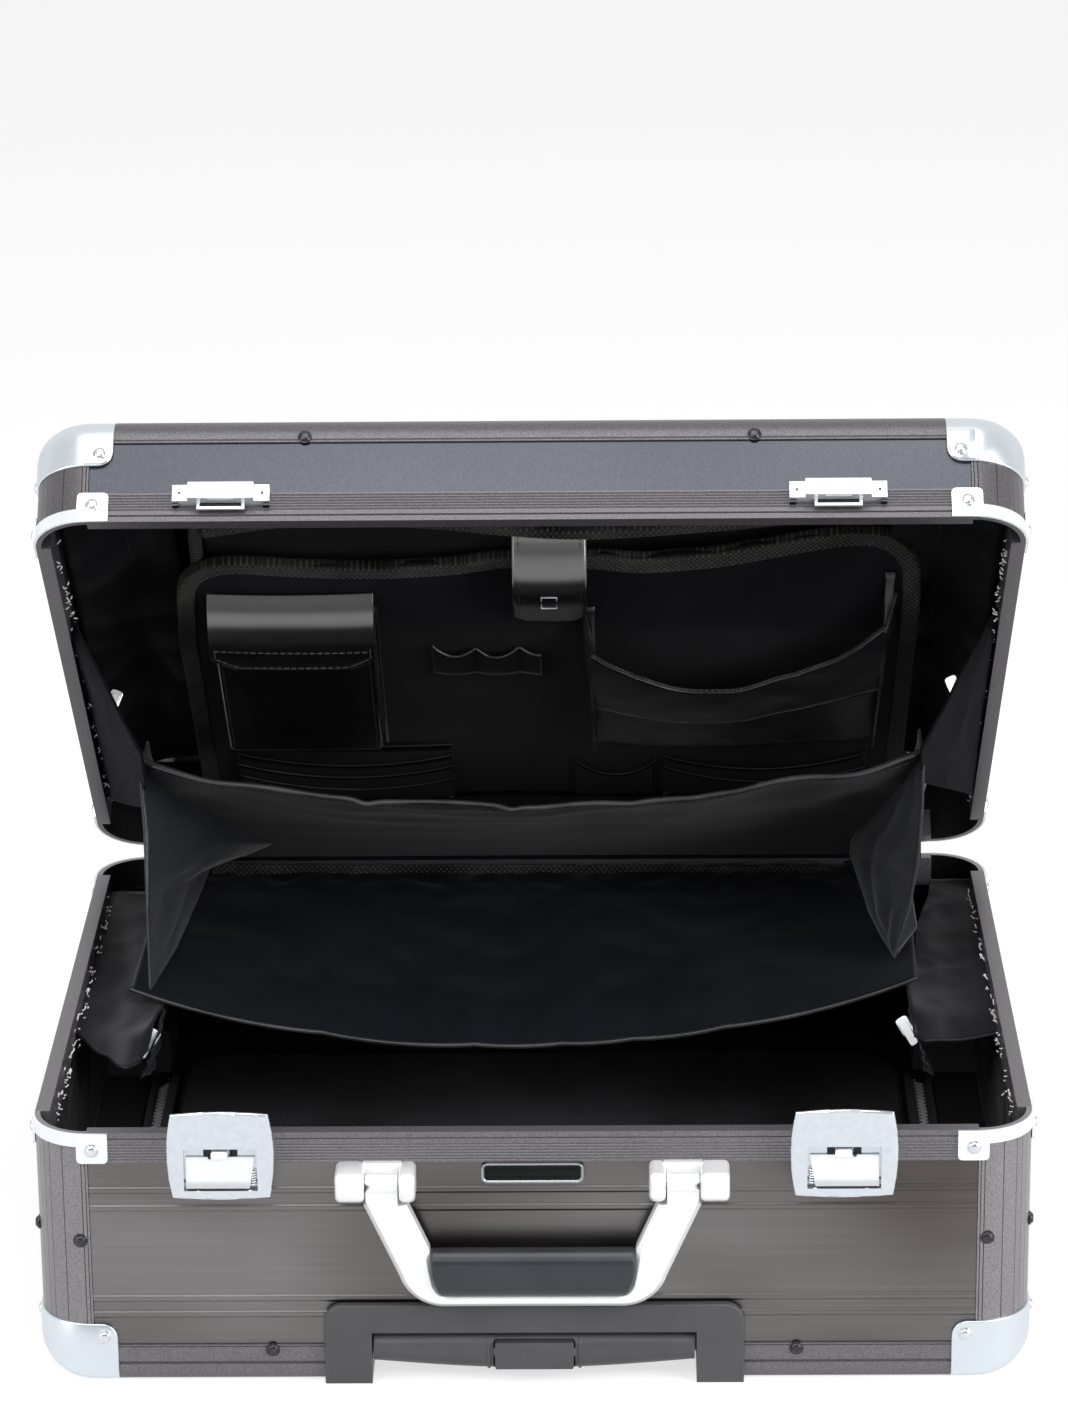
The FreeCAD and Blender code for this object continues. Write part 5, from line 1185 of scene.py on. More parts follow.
def makeOrganiser():
    o = organiser
    left, right = o["edge"][0][0], o["edge"][-1][0]

    def place(s, t):
        x = (left + right) / 2 - (right - left) / 2 * math.cos(math.pi * s)
        reach = o["foot"] + (through(o["edge"], x) - o["foot"]) * t
        return lidAt(x, reach, organiserFace(x, reach) + o["board"] / 2)

    board = cloth("organiserBoard", 60, 40, place, o["board"])
    lidPiece(board, "organiserCloth", "pocket_cloth", "organiser_panel")
    route = [(left - 1, o["foot"])] + [(left - 1, y) for y in o["sides"]] + o["edge"]
    route += [(right, y) for y in reversed(o["sides"])] + [(right, o["foot"])]
    path = smoothPath([Vector((x, y, 0)) for x, y in route], 6)
    count = len(path) - 1

    def tape(s, t):
        # a flat tape folded over the board's edge, from behind it to its face
        k = min(int(s * count + 0.5), count)
        along = (path[min(k + 1, count)] - path[max(k - 1, 0)]).normalized()
        spot = path[k] + Vector((along.y, -along.x, 0)) * o["tape"] * max(t * 1.4 - 0.4, 0)
        fold = max(0, 1 - t * 3.5)
        return lidAt(spot.x, spot.y, organiserFace(spot.x,
                                                   spot.y) - 0.9 * math.sin(math.pi * min(t + 0.35, 1))
                     - 0.4 + (o["board"] + 1) * fold)

    rim = cloth("organiserBinding", count, 12, tape, 0.8)
    lidPiece(rim, "binding", "pocket_cloth")
    # the larger board behind it, its binding and its own pocket edge
    rear = [lidAt(x, y, v) for x, y, v in ((-166, 12, 41), (-167, 150, 40), (-166, 250, 38), (-164, 290, 38),
                                          (-158, 318, 39), (-140, 330, 40), (0, 332, 40), (90, 330,
                                                                                           50), (158, 328,
                                                                                                 52),
                                          (174, 314, 52), (180, 280, 52), (180, 240, 52), (178, 150, 52))]
    lidPiece(cord("rearBinding", [smoothPath(rear, 6)], 3.4), "binding", "pocket_cloth")

    def behind(s, t):
        x, reach = -165 + 345 * s, 12 + 318 * t
        return lidAt(x, reach, 41 + 12 * eased(x / 70) + crease(x, reach, 60,
                                                                2.0) - 2 * math.sin(math.pi * s))

    panel = cloth("rearPocket", 40, 36, behind, 1.6)
    lidPiece(panel, "nylonLid", "pocket_cloth")
    hem = [lidAt(x, y, 36) for x, y in ((-160, 288), (-110, 300), (-49, 296), (-11, 288), (27, 284),
                                        (90, 292),
                                       (150, 304), (178, 308))]
    lidPiece(cord("rearPocketHem", [smoothPath(hem, 6)], 4.2), "binding", "pocket_cloth")


makeOrganiser()


# leather strap over the organiser, stitched round, with a plain square outline
strap = {"left": -10.0, "right": 26.3, "end": 217, "chamfer": 7.0, "thick": 2.0, "inset": 3.0,
         "profile": [(217, 23.3), (232, 19.8), (246, 16.8), (256, 15.9), (264, 17.4), (271, 21.5),
                     (277, 27.5),
                     (282, 34), (292, 40), (320, 44), (356, 47)],
         "square": (4.0, 11.6, 242.0, 256.5), "length": 139, "spread": 1.25, "stitchEnd": 340,
         "crown": 0.8, "crownAt": 7, "crownHalf": 19}


def strapPoint(x, reach, off=0.0):
    crown = strap["crown"] * (1 - ((x - strap["crownAt"]) / strap["crownHalf"]) ** 2)
    return lidAt(x, reach, curved(strap["profile"], reach) - crown - off)


def makeStrap():
    p = strap
    mid, half = (p["left"] + p["right"]) / 2, (p["right"] - p["left"]) / 2

    def width(reach):
        return half - p["chamfer"] * max(0, 1 - (reach - p["end"]) / p["chamfer"])

    def place(s, t):
        reach = p["end"] + p["length"] * t ** p["spread"]
        return strapPoint(mid + (2 * s - 1) * width(reach), reach)

    band = cloth("organiserStrap", 20, 60, place, p["thick"])
    lidPiece(band, "leather", "leatherette", "organiser_strap")
    inner, cut, corner = half - p["inset"], p["chamfer"], p["end"] + p["inset"]
    route = [(mid - inner, p["stitchEnd"]), (mid - inner, corner + cut), (mid - inner + cut, corner),
             (mid + inner - cut, corner), (mid + inner, corner + cut), (mid + inner, p["stitchEnd"])]
    dense = [a.lerp(b, k / 12) for a, b in zip([Vector(r) for r in route], [Vector(r) for r in route[1:]])
             for k in range(12)]
    seam = cord("strapStitches", [[strapPoint(x, y, p["thick"] / 2 + 0.1) for x, y in dense]], 0.3,
                stitch=2.6, gap=1.2, sides=1)
    lidPiece(seam, "blackThread", None)
    x1, x2, y1, y2 = p["square"]
    ring = [(x1, y1), (x2, y1), (x2, y2), (x1, y2), (x1, y1)]
    lidPiece(cord("strapOutline", [[strapPoint(x, y, p["thick"] / 2 + 0.1) for x, y in ring]], 0.35,
                  sides=1), "paleInk", None)


makeStrap()


# phone pocket: a leather box with a flap that bends over it
phone = {"left": -162.0, "right": -79.5, "low": 83.0, "high": 214.0, "face": 15.1, "back": 25.2,
         "end": 189.5,
         "profile": [(189.5, 10.6), (199, 9.4), (208, 9.0), (216, 9.8), (223, 11.8), (229, 15.0),
                     (234, 19.8),
                     (238, 27)],
         "chamfer": 13.0, "seam": 212.0, "bend": 238, "taper": 12, "crown": 1.0, "crownAt": -120.7,
         "crownHalf": 41, "corner": 4.0, "rim": 2.2, "stitchOff": 1.15, "borderCorner": 11}


def flapPoint(x, reach, off=0.0):
    crown = phone["crown"] * (1 - ((x - phone["crownAt"]) / phone["crownHalf"]) ** 2)
    return lidAt(x, reach, curved(phone["profile"], reach) - crown - off)


def makePhonePocket():
    p = phone
    mid, half = (p["left"] + p["right"]) / 2, (p["right"] - p["left"]) / 2
    body = cube("phonePocket", (p["left"] + 1, -p["high"], p["face"]),
                (p["right"] - 1, -p["low"], p["back"]))
    roundEdges(body, lambda c, d: abs(d.z) > 0.9, p["corner"], 4)
    roundEdges(body, lambda c, d: abs(c.z - p["face"]) < 0.1, p["rim"], 4)
    soften(body, 0.6, 2, 40)
    lidPiece(body, "leather", "leatherette", "phone_pocket")
    # the side gusset's free edge and the seams down both sides
    sides = [[lidAt(x, y, p["face"] - 0.15) for y in range(86, 212, 6)] for x in (p["left"] + 4,
                                                                                  p["right"] - 4)]
    lidPiece(cord("phoneStitches", sides, 0.3, stitch=2.6, gap=1.2, sides=1), "blackThread", None)
    fold = [lidAt(p["right"] + 1.2, y, v) for y,
            v in ((238, 20), (215, 15.5), (180, 14.6), (130, 15), (88, 18.5))]
    lidPiece(cord("phoneGussetFold", [smoothPath(fold, 8)], 1.1), "leather", "leatherette")

    def width(reach):
        over = max(0, 1 - (reach - p["end"]) / p["chamfer"])
        return half - p["taper"] * over ** 1.5

    def place(s, t):
        reach = p["end"] + (p["bend"] - p["end"]) * (1 - t ** 1.6)
        return flapPoint(mid + (2 * s - 1) * width(reach), reach)

    flap = cloth("phoneFlap", 30, 40, place, 1.9)
    soften(flap, 0.5, 2, 60)
    settle(flap, "phone_cover", "leather", ["phone_flap"], True)
    off, corner = p["stitchOff"], p["borderCorner"]
    across = [flapPoint(mid + (2 * k / 30 - 1) * (half - 2), p["seam"] - 1.5 * (k / 30),
                        off) for k in range(31)]
    foot = p["end"] + 3.2
    border = [(-1, 236), (-1, 212), (-1, foot + corner)]
    border += [(-1 + 0.3 * k / 4, foot + corner - corner * k / 4) for k in range(1, 5)]
    border += [(-0.7 + 1.4 * k / 10, foot) for k in range(1, 11)]
    border += [(0.7 + 0.3 * k / 4, foot + corner * k / 4) for k in range(1, 5)] + [(1, 212), (1, 236)]
    rim = [flapPoint(mid + share * (half - 2.4), y, off) for share, y in border]
    dense = [a.lerp(b, k / 6) for a, b in zip(rim, rim[1:]) for k in range(6)]
    settle(cord("flapStitches", [across, dense], 0.3, stitch=2.6, gap=1.1, sides=1), "phone_cover",
           "greyThread", (), True)


makePhonePocket()
print("organiser, strap and phone pocket made")


# pen loops: one strip sewn down between three pens' widths
pens = {"left": -52.0, "right": 3.0, "low": 158, "high": 185, "loops": 2.5, "bulge": 2.6}


def penPoint(s, t):
    p = pens
    swell = abs(math.sin(math.pi * p["loops"] * s)) ** 0.8
    x = p["left"] + (p["right"] - p["left"]) * s
    reach = p["low"] + (p["high"] - p["low"]) * t - (6 * swell - 3 * abs(2 * s - 1)) * t
    return lidAt(x, reach, organiserFace(x, reach) - 1.0 - p["bulge"] * swell * (0.55 + 0.45 * t))


def makePenLoops():
    strip = cloth("penLoops", 48, 10, penPoint, 1.2)
    lidPiece(strip, "leather", "leatherette")
    lidPiece(cord("penLoopHem", [[penPoint(k / 48, 1.0) - Vector((0, 0, 0.3)) for k in range(49)]], 0.8),
             "sheenEdge", "leatherette")


makePenLoops()


# card slots: overlapping strips with sagging edges
cards = {
    "left": {"from": -159, "to": -46, "edges": [(77.3, 70.6, 72.3), (62.8, 47.6, 60.3), (50.7, 34.1, 48.1),
                                                (38.4, 20.4, 33.4)]},
    "right": {"from": 66, "to": 172, "edges": [(56.5, 40, 58.8), (44.3, 25.2, 43)]},
    "small": {"from": 19, "to": 61, "edges": [(52, 34, 50)]},
}


slotShape = {"foot": 8, "thick": 0.5, "off": 0.5, "step": 0.55, "bow": 0.3, "columns": 30, "proud": 0.3}


def makeCardSlots():
    p, count = slotShape, slotShape["columns"]
    strips, hems = [], []
    for name, group in cards.items():
        low, high = group["from"], group["to"]
        for index, (first, middle, last) in enumerate(group["edges"]):
            def edge(s):
                chord = first + (last - first) * s
                return chord + (middle - (first + last) / 2) * math.sin(math.pi * s) ** 0.8

            def place(s, t):
                x, reach = low + (high - low) * s, p["foot"] + (edge(s) - p["foot"]) * t
                off = p["off"] + p["step"] * index + p["bow"] * math.sin(math.pi * s)
                return lidAt(x, reach, organiserFace(x, reach) - off)

            strip = cloth(name + "CardStrip" + str(index), count, 8, place, p["thick"])
            strips.append(strip)
            hems.append([place(k / count, 1) - Vector((0, 0, p["proud"])) for k in range(count + 1)])
        hems.append([lidAt(high + 0.5, y, organiserFace(high, y) - 0.4) for y in range(8, 71, 6)])
    for number, strip in enumerate(strips):
        settle(strip, "lid", "organiserCloth", ["card_slots"] if number == 0 else (), True)
    lidPiece(cord("cardSlotHems", hems, 0.3, sides=1), "greyThread", "leatherette")


makeCardSlots()


# document pocket: a slack pouch with an elastic hem, gusset folds and cords
pouch = {"left": 28.0, "right": 176.0,
         "hem": [(28, 200), (38, 189), (61.6, 170.7), (83.7, 162), (105.9, 165.7), (127.8, 178.9),
                 (148.9, 193.2),
                 (167, 211.7), (176, 221)],
         "seam": [(28, 131), (34, 129.6), (65, 119.3), (100, 118.9), (129, 131.3), (160, 145.9), (176, 151)],
         "foot": [(28, 75), (84, 70), (162, 76), (176, 80)]}


def pouchPoint(s, t, off=0.0):
    x = pouch["left"] + (pouch["right"] - pouch["left"]) * s
    foot, hem = through(pouch["foot"], x), curved(pouch["hem"], x)
    belly = math.sin(math.pi * min(max(s, 0.02), 0.98)) ** 0.5
    reach = foot + (hem - foot) * t
    forward = (10.5 + 3 * belly) * eased(t * 1.15) + crease(x, reach, 26, 1.3 * belly, 3.0)
    return lidAt(x, reach, organiserFace(x, reach) - 1.2 - forward - off)


def makePouch():
    def seamShare(s):
        x = pouch["left"] + (pouch["right"] - pouch["left"]) * s
        foot, hem = through(pouch["foot"], x), curved(pouch["hem"], x)
        return (curved(pouch["seam"], x) - foot) / (hem - foot)

    lower = cloth("pouchLower", 50, 16, lambda s, t: pouchPoint(s, t * seamShare(s)), 1.4)
    lidPiece(lower, "softLeather", "leatherette", "document_pocket")
    upper = cloth("pouchUpper", 50, 18,
                  lambda s, t: pouchPoint(s, seamShare(s) + (1 - seamShare(s)) * t, 0.5), 1.2)
    lidPiece(upper, "organiserCloth", "pocket_cloth")
    steps = [k / 60 for k in range(61)]
    lidPiece(cord("pouchHem", [[pouchPoint(s, 1.0, 0.5) for s in steps]], 0.9), "binding", "pocket_cloth")
    lines = [[pouchPoint(s, 1.0, 2.1) - Vector((0, 1.0, 0)) for s in steps],
             [pouchPoint(s, seamShare(s), 1.2) for s in steps]]
    lidPiece(cord("pouchSeams", lines, 0.45, sides=1), "sheenEdge", "leatherette")
    for name, x, sign, top, hemEnd in (("left", 28, 1, 224, 203), ("right", 176, -1, 242, 227)):
        def fold(s, t):
            reach = 82 + (top - 82) * t
            mouth = 1 - abs(2 * s - 1)
            depth = organiserFace(x, reach) - 1.0 - s * (8 + 5 * eased(t)) * eased((top - reach) / 30)
            return lidAt(x + sign * (2 - 5.5 * mouth * eased(t)) + crease(s * 9, reach, 9, 0.8), reach,
                         depth)
        side = cloth(name + "PouchGusset", 10, 40, fold, 1.0)
        lidPiece(side, "softLeather", "leatherette")
        pull = [lidAt(x - 3 * sign, top, 23), lidAt(x - sign, top - 12, 19),
                lidAt(x + 1.5 * sign, top - 24, 14),
                pouchPoint(0.01 if sign > 0 else 0.99, 1.0, 2.0)]
        lidPiece(cord(name + "PouchLace", [smoothPath(pull, 8)], 0.8, sides=1), "sheenEdge", "leatherette")


makePouch()
print("pen loops, card slots and document pocket made")


# hanging pocket: two slack leaves with turned hems
bellows = {
    "fold": (172.5, 132.0), "root": (174.5, 126.1),
    "upper": {"left": (-204, 39.5, 236.2), "mid": (-12, 18.5, 216.4), "right": (199.6, 43.5, 237.2)},
    "lower": {"left": (-204, 1.5, 127.2), "mid": (-12, -11.5, 101.6), "right": (191, 11.5, 127.2)},
    "thick": 1.5, "nicks": (-204, -107.5, -31, 12.6, 48, 94, 191),
}


def leafEdge(ends, s):
    # the free edge, which sags between its two tips
    left, mid, right = (Vector(ends[k]) for k in ("left", "mid", "right"))
    chord = left.lerp(right, s)
    share = (mid.x - left.x) / (right.x - left.x)
    drop = mid - left.lerp(right, share)
    return chord + Vector((0, drop.y, drop.z)) * (1 - abs(2 * s - 1) ** 2.1)


def upperLeaf(s, t, off=0.0):
    hem = leafEdge(bellows["upper"], s)
    y, z = bellows["fold"]
    root = Vector((-200 + 396 * s, y, z))
    point = root.lerp(hem, t)
    nick = sum(1.7 * math.exp(-((s - at) / 0.012) ** 2) for at in (0.295, 0.475)) * eased((t - 0.9) / 0.1)
    slack = eased(t) * (0.6 + math.sin(math.pi * s))
    fold = crease(point.x * 0.3, t * 120, 24, 1.3 * slack, 5.0) + crease(point.x, t * 60, 50, 1.8 * slack,
                                                                         8.0)
    corner = 3.0 * math.exp(-(((s - 0.09) + 0.25 * (1 - t)) / 0.05) ** 2) * t
    corner += 3.0 * math.exp(-(((0.91 - s) + 0.25 * (1 - t)) / 0.05) ** 2) * t
    normal = Vector((0, -0.61, -0.79))
    lift = normal * (fold * 0.8 + corner - 2.0 * math.sin(math.pi * t) * math.sin(math.pi * s) + off)
    return point + lift - Vector((0, 0, nick))


def lowerLeaf(s, t):
    hem = leafEdge(bellows["lower"], s)
    y, z = bellows["root"]
    root = Vector((-200 + 396 * s, y, z))
    point = root.lerp(hem, t)
    edge = eased((t - 0.7) / 0.3)
    k = sum(1 for x in bellows["nicks"][1:-1] if x < point.x)
    a, b = bellows["nicks"][k:k + 2]
    scallop = -min((b - a) / 45, 1.5) * max(math.sin(math.pi * (point.x - a) / (b - a)), 0) ** 0.7 * edge
    fold = crease(point.x, point.y, 42, 1.6 * math.sin(math.pi * min(t + 0.1, 1)), 2.0)
    near = crease(point.x, point.y, 15, 2.4 * math.exp(-((t - 0.05) / 0.1) ** 2), 6.0)
    return point + Vector((0, 0.6 * scallop, scallop * 0.8 - 1.5 + fold + near))


def makeLeaves():
    steps = [k / 160 for k in range(161)]
    upper = cloth("pocketUpperLeaf", 150, 50, upperLeaf, bellows["thick"])
    settle(upper, "divider_upper", "nylon", ["bellows_upper_leaf"])
    lower = cloth("pocketLowerLeaf", 150, 60, lowerLeaf, bellows["thick"])
    settle(lower, "base", "nylonLow", ["bellows_lower_leaf"])
    # the hems take the paler glossy edge finish, a painted highlight along the leaves' edges
    settle(cord("upperHem", [[upperLeaf(s, 1.0) for s in steps]], 1.6), "divider_upper", "sheenEdge")
    settle(cord("lowerHem", [[lowerLeaf(s, 1.0) for s in steps]], 1.2), "base", "sheenEdge")
    settle(cord("upperSeam", [[upperLeaf(s, 0.955, 0.85) for s in steps]], 0.28, stitch=3.0, gap=1.2,
                sides=0), "divider_upper", "blackThread")

    def strip(s, t):
        x = -176 + 330 * s
        foot = 121.4 - 2.4 * s
        return Vector((x, 166 - 2 * t + crease(x, t * 20, 24, 0.8),
                       foot + 9 * t + crease(x, t * 9, 16, 0.8)))
    webbing = cloth("rootWebbing", 120, 6, strip, 1.0)
    settle(webbing, "base", "binding")

    def behind(s, t):
        x = -203 + 406 * s
        return Vector((x, 175.5 + crease(x, t * 30, 30, 0.8), 112 + 28 * t))
    lining = cloth("hingeLining", 80, 6, behind, 1.0)
    settle(lining, "base", "nylonLow")


makeLeaves()


# side gussets, folded inwards like a bellows
gusset = {
    # from the upper leaf's corner to the lower one's: the free edge, then the crease inside
    "left": {"edge": [(-200, 50, 228), (-198, 42, 195), (-196.5, 26, 160), (-193.5, -4, 127.5)],
             "crease": [(-200, 52, 227), (-174, 96, 191), (-156, 125, 168), (-141, 150, 148),
                        (-154, 164, 137),
                        (-176, 165, 129), (-178, 136, 128), (-185, 52, 128), (-193.5, -3,
                                                                              127.5)], "fold": 0.36},
    "right": {"edge": [(195, 44, 234), (194.5, 41, 205), (192.5, 38, 178), (188, 36, 152), (181, 32, 128)],
              "crease": [(194.5, 46, 233), (186, 72, 212), (176, 116, 178), (168, 142, 156), (166, 166, 134),
                         (171, 97, 129), (176, 62, 128.5), (181, 34, 128)], "fold": 0.5},
    "root": {"left": (-199, 171, 130), "right": (195, 171, 130)},
    "creaseShare": 0.62,
}


def alongPath(points, t):
    # a place part of the way down a chain of points
    spot = min(max(t, 0.0), 0.9999) * (len(points) - 1)
    k = int(spot)
    return Vector(points[k]).lerp(Vector(points[k + 1]), eased(spot - k) * 0.35 + (spot - k) * 0.65)


def makeGussets():
    creaseShare = gusset["creaseShare"]
    for side, sign in (("left", -1), ("right", 1)):
        edge, inner = gusset[side]["edge"], gusset[side]["crease"]
        root = Vector(gusset["root"][side])

        def place(s, t):
            front, back = alongPath(edge, t), alongPath(inner, t)
            if s < creaseShare:
                share = s / creaseShare
                point = front.lerp(back, share)
                belly = math.sin(math.pi * share) * math.sin(math.pi * t)
                wave = crease(share * 50 + t * 60, t * 120 - share * 40, 26, 3.0 * belly, 11.0 + sign)
                fold = 5.0 * max(0, 1 - abs(t - gusset[side]["fold"]) / 0.2) * share * (1 - share * 0.4)
                return point + Vector((sign * (wave - 2.0 * belly - fold), 0, 0))
            share = (s - creaseShare) / (1 - creaseShare)
            behind = Vector((root.x, back.y + (root.y - back.y) * 0.3, back.z))
            return back.lerp(behind, share)
        obj = cloth(side + "Gusset", 50, 72, place, 1.2)
        settle(obj, "base", "nylonSidePaintedLight", ["bellows_gussets"] if sign < 0 else ())
        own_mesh(obj)


makeGussets()


# side flaps: in the lid they hang from the wall to the pocket's corners, in the base they lie slack
sideFlap = {
    # from the top down: the free edge as it hangs, then the line where it is sewn to the lid's wall
    "left": {"free": [(-227, 18, 317), (-218.5, 10, 301), (-210, 4.6, 285), (-203, 6, 268), (-194, 4, 250),
                      (-196, 40, 222), (-201, 72, 197)], "wall": [(-228.5, 18, 317), (-229, 168, 168)]},
    "right": {"free": [(227, 12, 321), (218, 13, 302), (208.5, 14, 283), (203, 20, 267), (192, 25, 243),
                       (193, 42, 227), (196, 62, 212)], "wall": [(228.5, 12, 321), (229, 152, 172)]},
}


def makeSideFlaps():
    for side, sign in (("left", -1), ("right", 1)):
        free, wall = sideFlap[side]["free"], sideFlap[side]["wall"]

        def place(s, t):
            point = alongPath(wall, t).lerp(alongPath(free, t), s)
            reach = math.sin(math.pi * s)
            wave = crease(t * 90 + s * 30, s * 40, 22, 2.4 * reach, 4.0 + sign)
            return point + Vector((sign * (wave + 1.5 * reach), -1.5 * reach, 0))
        obj = cloth(side + "LidFlap", 40, 60, place, 1.2)
        settle(obj, "lid", "nylonFlap", ["lid_side_flaps"] if sign < 0 else ())


makeSideFlaps()
baseFlap = {
    "wall": 229.0, "rear": {"left": 155.0, "right": 168.0}, "level": 119.0,
    "inner": {"left": [(0, 208), (0.07, 207), (0.72, 187), (0.88, 190), (1, 191)],
              "right": [(0, 207), (0.45, 194), (0.65, 186), (0.9, 186.5), (1, 187)]},
    "front": {"left": [(0, -36), (0.45, -56), (0.75, -72), (0.9, -66), (1, -50)],
              "right": [(0, -42), (0.6, -41), (0.85, -42), (1, -36)]},
}


def makeBaseFlaps():
    f = baseFlap
    for side, sign in (("left", -1), ("right", 1)):
        def place(s, t):
            # s runs from the wall inwards, t from the rear to the front
            y = f["rear"][side] + (through(f["front"][side], s) - f["rear"][side]) * t
            x = f["wall"] - (f["wall"] - through(f["inner"][side], t)) * s
            sag = -2.5 * math.sin(math.pi * s) * eased(t * 2) - 4.0 * eased((t - 0.85) / 0.15) * s
            wave = crease(x, y, 40, 2.2 * s, 7.0 + sign) + crease(x, y, 17, 0.8 * s, 9.0 + sign)
            return Vector((sign * x, y, f["level"] + sag + wave - 1.0))
        obj = cloth(side + "BaseFlap", 24, 60, place, 1.2)
        settle(obj, "base", "nylonSoft", ["base_side_flaps"] if sign < 0 else ())
        # the slack fold below the flap's inner front corner
        def hang(s, t):
            y = -36 + 52 * s
            x = 187 + 9 * t + crease(y, t * 60, 16, 2.6, 9.0 + sign)
            return Vector((sign * x, y - 8 * t * (1 - s), f["level"] - 3 - 40 * t * (0.5 + 0.5 * s)))
        obj = cloth(side + "ZipGusset", 18, 24, hang, 1.0)
        settle(obj, "base", "nylonSoft")


makeBaseFlaps()
print("hanging pocket, gussets and side flaps made")


# zips: a tape, a row of teeth, and a slider with its pull
zipRun = {"x": 199.0, "front": 14.5, "rear": 120.5, "level": 26.0, "pitch": 2.2, "half": 7, "thick": 0.8,
          "toothOut": 2.2, "toothIn": 0.9, "toothUp": 1.3, "toothRadius": 0.75}
slider = {"x": 199, "y": 115.5, "level": 27.4, "head": (3.6, 4.6, 0.6, 2.4), "nose": 2.4,
          "pull": (1.9, 15, 1.5, 2.3, 3.3), "pullRound": 1.7}


def makeZips():
    z = zipRun
    for side, sign in (("left", -1), ("right", 1)):
        x = sign * z["x"]
        tape = cube(side + "ZipTape", (x - z["half"], z["front"], z["level"]),
                    (x + z["half"], z["rear"], z["level"] + z["thick"]))
        soften(tape, 0.2)
        settle(tape, "base", "zipTape", ["base_zip_chains"] if sign < 0 else ())
        count = int((z["rear"] - z["front"]) / z["pitch"])
        teeth = []
        for k in range(count):
            y, way = z["front"] + (k + 0.5) * z["pitch"], 1 if k % 2 else -1
            teeth.append([Vector((x + across * way, y, z["level"] + z["toothUp"]))
                          for across in (-z["toothOut"], z["toothIn"])])
        settle(cord(side + "ZipTeeth", teeth, z["toothRadius"], sides=1), "base", "zip")
    halfX, halfY, below, above = slider["head"]
    pullHalf, front, back, low, high = slider["pull"]
    y, level = slider["y"], slider["level"]
    for side, sign in (("left", -1), ("right", 1)):
        x = sign * slider["x"]
        head = cube(side + "SliderHead", (x - halfX, y - halfY, level - below),
                    (x + halfX, y + halfY, level + above))
        roundEdges(head, lambda c, d: abs(d.z) > 0.9 and c.y < y, slider["nose"], 3)
        soften(head, 0.7, 2)
        settle(head, side + "_slider", "darkRivet", [side + "_zip_slider"])
        pull = cube(side + "SliderPull", (x - pullHalf, y - front, level + low),
                    (x + pullHalf, y + back, level + high))
        roundEdges(pull, lambda c, d: abs(d.z) > 0.9, slider["pullRound"], 3)
        soften(pull, 0.3, 2)
        settle(pull, side + "_slider", "darkRivet")


makeZips()


# parked sliders on the side flaps' edges, one in each corner of the lid and of the base
parked = {
    "lidLeft": ("lid", (-213.5, -167, 4), (-30, 25)), "lidRight": ("lid", (210.5, -178, 4), (-30, -25)),
    "baseLeft": ("base", (-191.5, -30, 112), (-30, 35)), "baseRight": ("base", (184, -16, 111), (-30, -35)),
}


parkedShape = {"Slider": ((-3.3, -2.2, -5), (3.3, 2.2, 5), 1.8, 0.6),
               "Pull": ((-2.2, -4.0, -11), (2.2, -2.6, 3), 1.2, 0.35)}


def makeParkedSliders():
    for name, (body, (x, y, z), (tilt, turn)) in parked.items():
        blocks = []
        for part, (low, high, corner, edge) in parkedShape.items():
            block = cube(name + part, low, high)
            roundEdges(block, lambda c, d: abs(d.y) > 0.9, corner, 3)
            blocks.append(soften(block, edge, 2))
        piece = joined(blocks, name + "Slider")
        piece.rotation_euler = (math.radians(tilt), math.radians(turn), 0)
        place = Vector((x, y, z)) / 1000
        piece.location = lidMatrix @ place if body == "lid" else place
        settle(piece, body, "bright")


makeParkedSliders()


# floor: a mesh-covered board with a piped edge
floorBoard = {"halfX": 188, "front": -158, "rear": 150, "level": 26.6, "corner": 26, "below": 1.2,
              "above": 0.6,
              "piping": 1.2}


def makeFloorBoard():
    f = floorBoard
    board = cube("meshFloor", (-f["halfX"], f["front"], f["level"] - f["below"]),
                 (f["halfX"], f["rear"], f["level"] + f["above"]))
    roundEdges(board, lambda c, d: abs(d.z) > 0.9, f["corner"], 8)
    soften(board, 0.4)
    settle(board, "base", "floorMesh")
    path = []
    for cornerX, cornerY, start in ((1, 1, 0), (-1, 1, 90), (-1, -1, 180), (1, -1, 270)):
        middleY = f["rear"] - f["corner"] if cornerY > 0 else f["front"] + f["corner"]
        for k in range(9):
            turn = math.radians(start + 90 * k / 8)
            path.append(Vector((cornerX * (f["halfX"] - f["corner"]) + f["corner"] * math.cos(turn),
                                middleY + f["corner"] * math.sin(turn), f["level"] + f["above"])))
    settle(cord("floorPiping", [path + [path[0]]], f["piping"]), "base", "baseLining")


makeFloorBoard()


# loose lining at the lid's sides and back, and in the base
lidLining = {"wall": 228, "width": 52, "low": 20, "length": 315, "depth": 30, "hollow": 14, "seamAt": 0.55,
             "seamOff": 0.9}
baseLiningWall = {"x": 230.5, "front": -150, "length": 300, "low": 30, "height": 80}


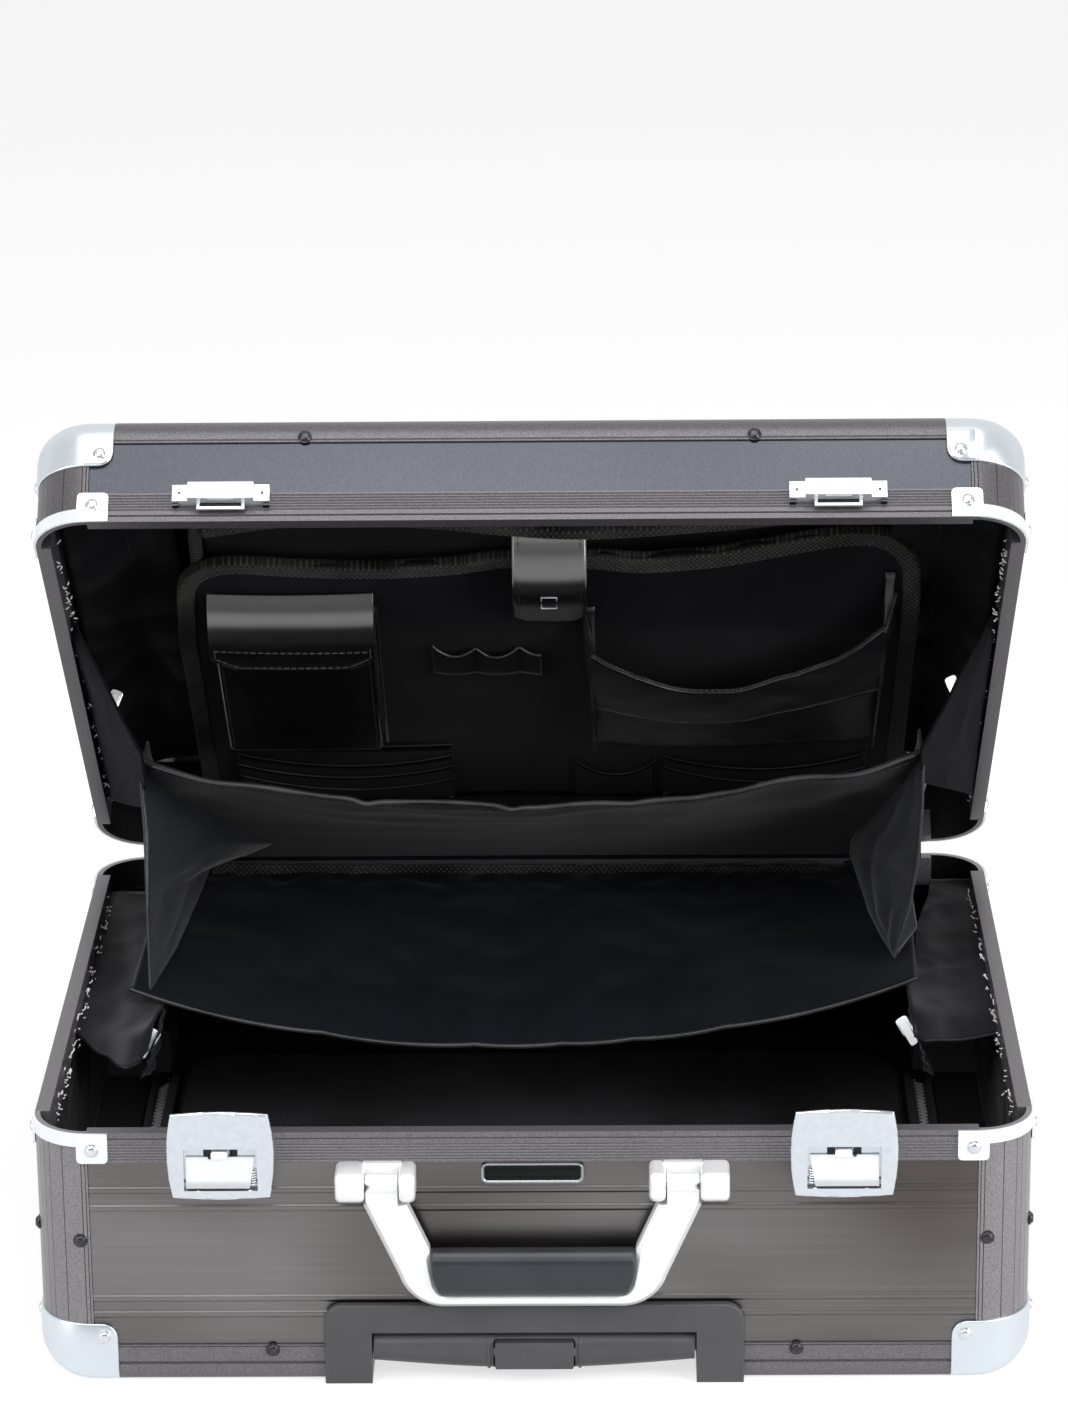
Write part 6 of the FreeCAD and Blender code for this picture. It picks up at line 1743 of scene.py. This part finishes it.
def makeLooseLining():
    p, w = lidLining, baseLiningWall
    for side, sign in (("left", -1), ("right", 1)):
        def sheet(s, t):
            x, reach = sign * (p["wall"] - p["width"] * s), p["low"] + p["length"] * t
            slack = crease(x * 1.3, reach, 46, 3.2 * math.sin(math.pi * (0.15 + 0.75 * s)), 12.0 + sign)
            return lidAt(x, reach, p["depth"] + p["hollow"] * eased(s * 1.6) + slack)

        obj = cloth(side + "LidLining", 22, 90, sheet, 1.2)
        lidPiece(obj, "nylonLid", "pocket_cloth")
        seam = [sheet(p["seamAt"], k / 60) - Vector((0, 0, p["seamOff"])) for k in range(61)]
        lidPiece(cord(side + "LidLiningSeam", [seam], 0.35, stitch=3.2, gap=1.4, sides=0), "blackThread",
                 None)

        def wall(s, t):
            y, z = w["front"] + w["length"] * s, w["low"] + w["height"] * t
            slack = crease(y, z, 30, 3.0 * math.sin(math.pi * t), 15.0 + sign)
            return Vector((sign * (w["x"] - slack), y, z))

        obj = cloth(side + "BaseLining", 60, 16, wall, 1.0)
        settle(obj, "base", "nylonLid")


makeLooseLining()


# dried glue and frayed lining threads along the side rims
glue = {"seed": 7, "count": 80, "length": 290, "wall": 227.6, "spread": 1.8, "radius": 0.38,
        "base": {"from": -150, "way": 1, "level": 110, "rise": 15, "power": 0.5},
        "lid": {"from": -35, "way": -1, "level": 2, "rise": 12, "power": 2}}


def makeGlueSpecks():
    for body in ("base", "lid"):
        p, threads = glue[body], []
        for sign in (-1, 1):
            for k in range(glue["count"]):
                y = p["from"] + p["way"] * glue["length"] * noise.random()
                x = sign * (glue["wall"] - glue["spread"] * noise.random())
                z = p["level"] + p["rise"] * noise.random() ** p["power"]
                start = Vector((x, y, z))
                bend = Vector((-sign * noise.random(), 3 * noise.random() - 1.5, 2 * noise.random() - 1))
                threads.append([start, start + bend,
                                start + bend * 1.7 + Vector((0, 1.2 * noise.random(), 0.6))])
        settle(cord(body + "GlueSpecks", threads, glue["radius"], sides=0), body, "whiteGlue", (),
               body == "lid")


noise.seed_set(glue["seed"])
makeGlueSpecks()
print("zips, floor, loose lining and specks made")
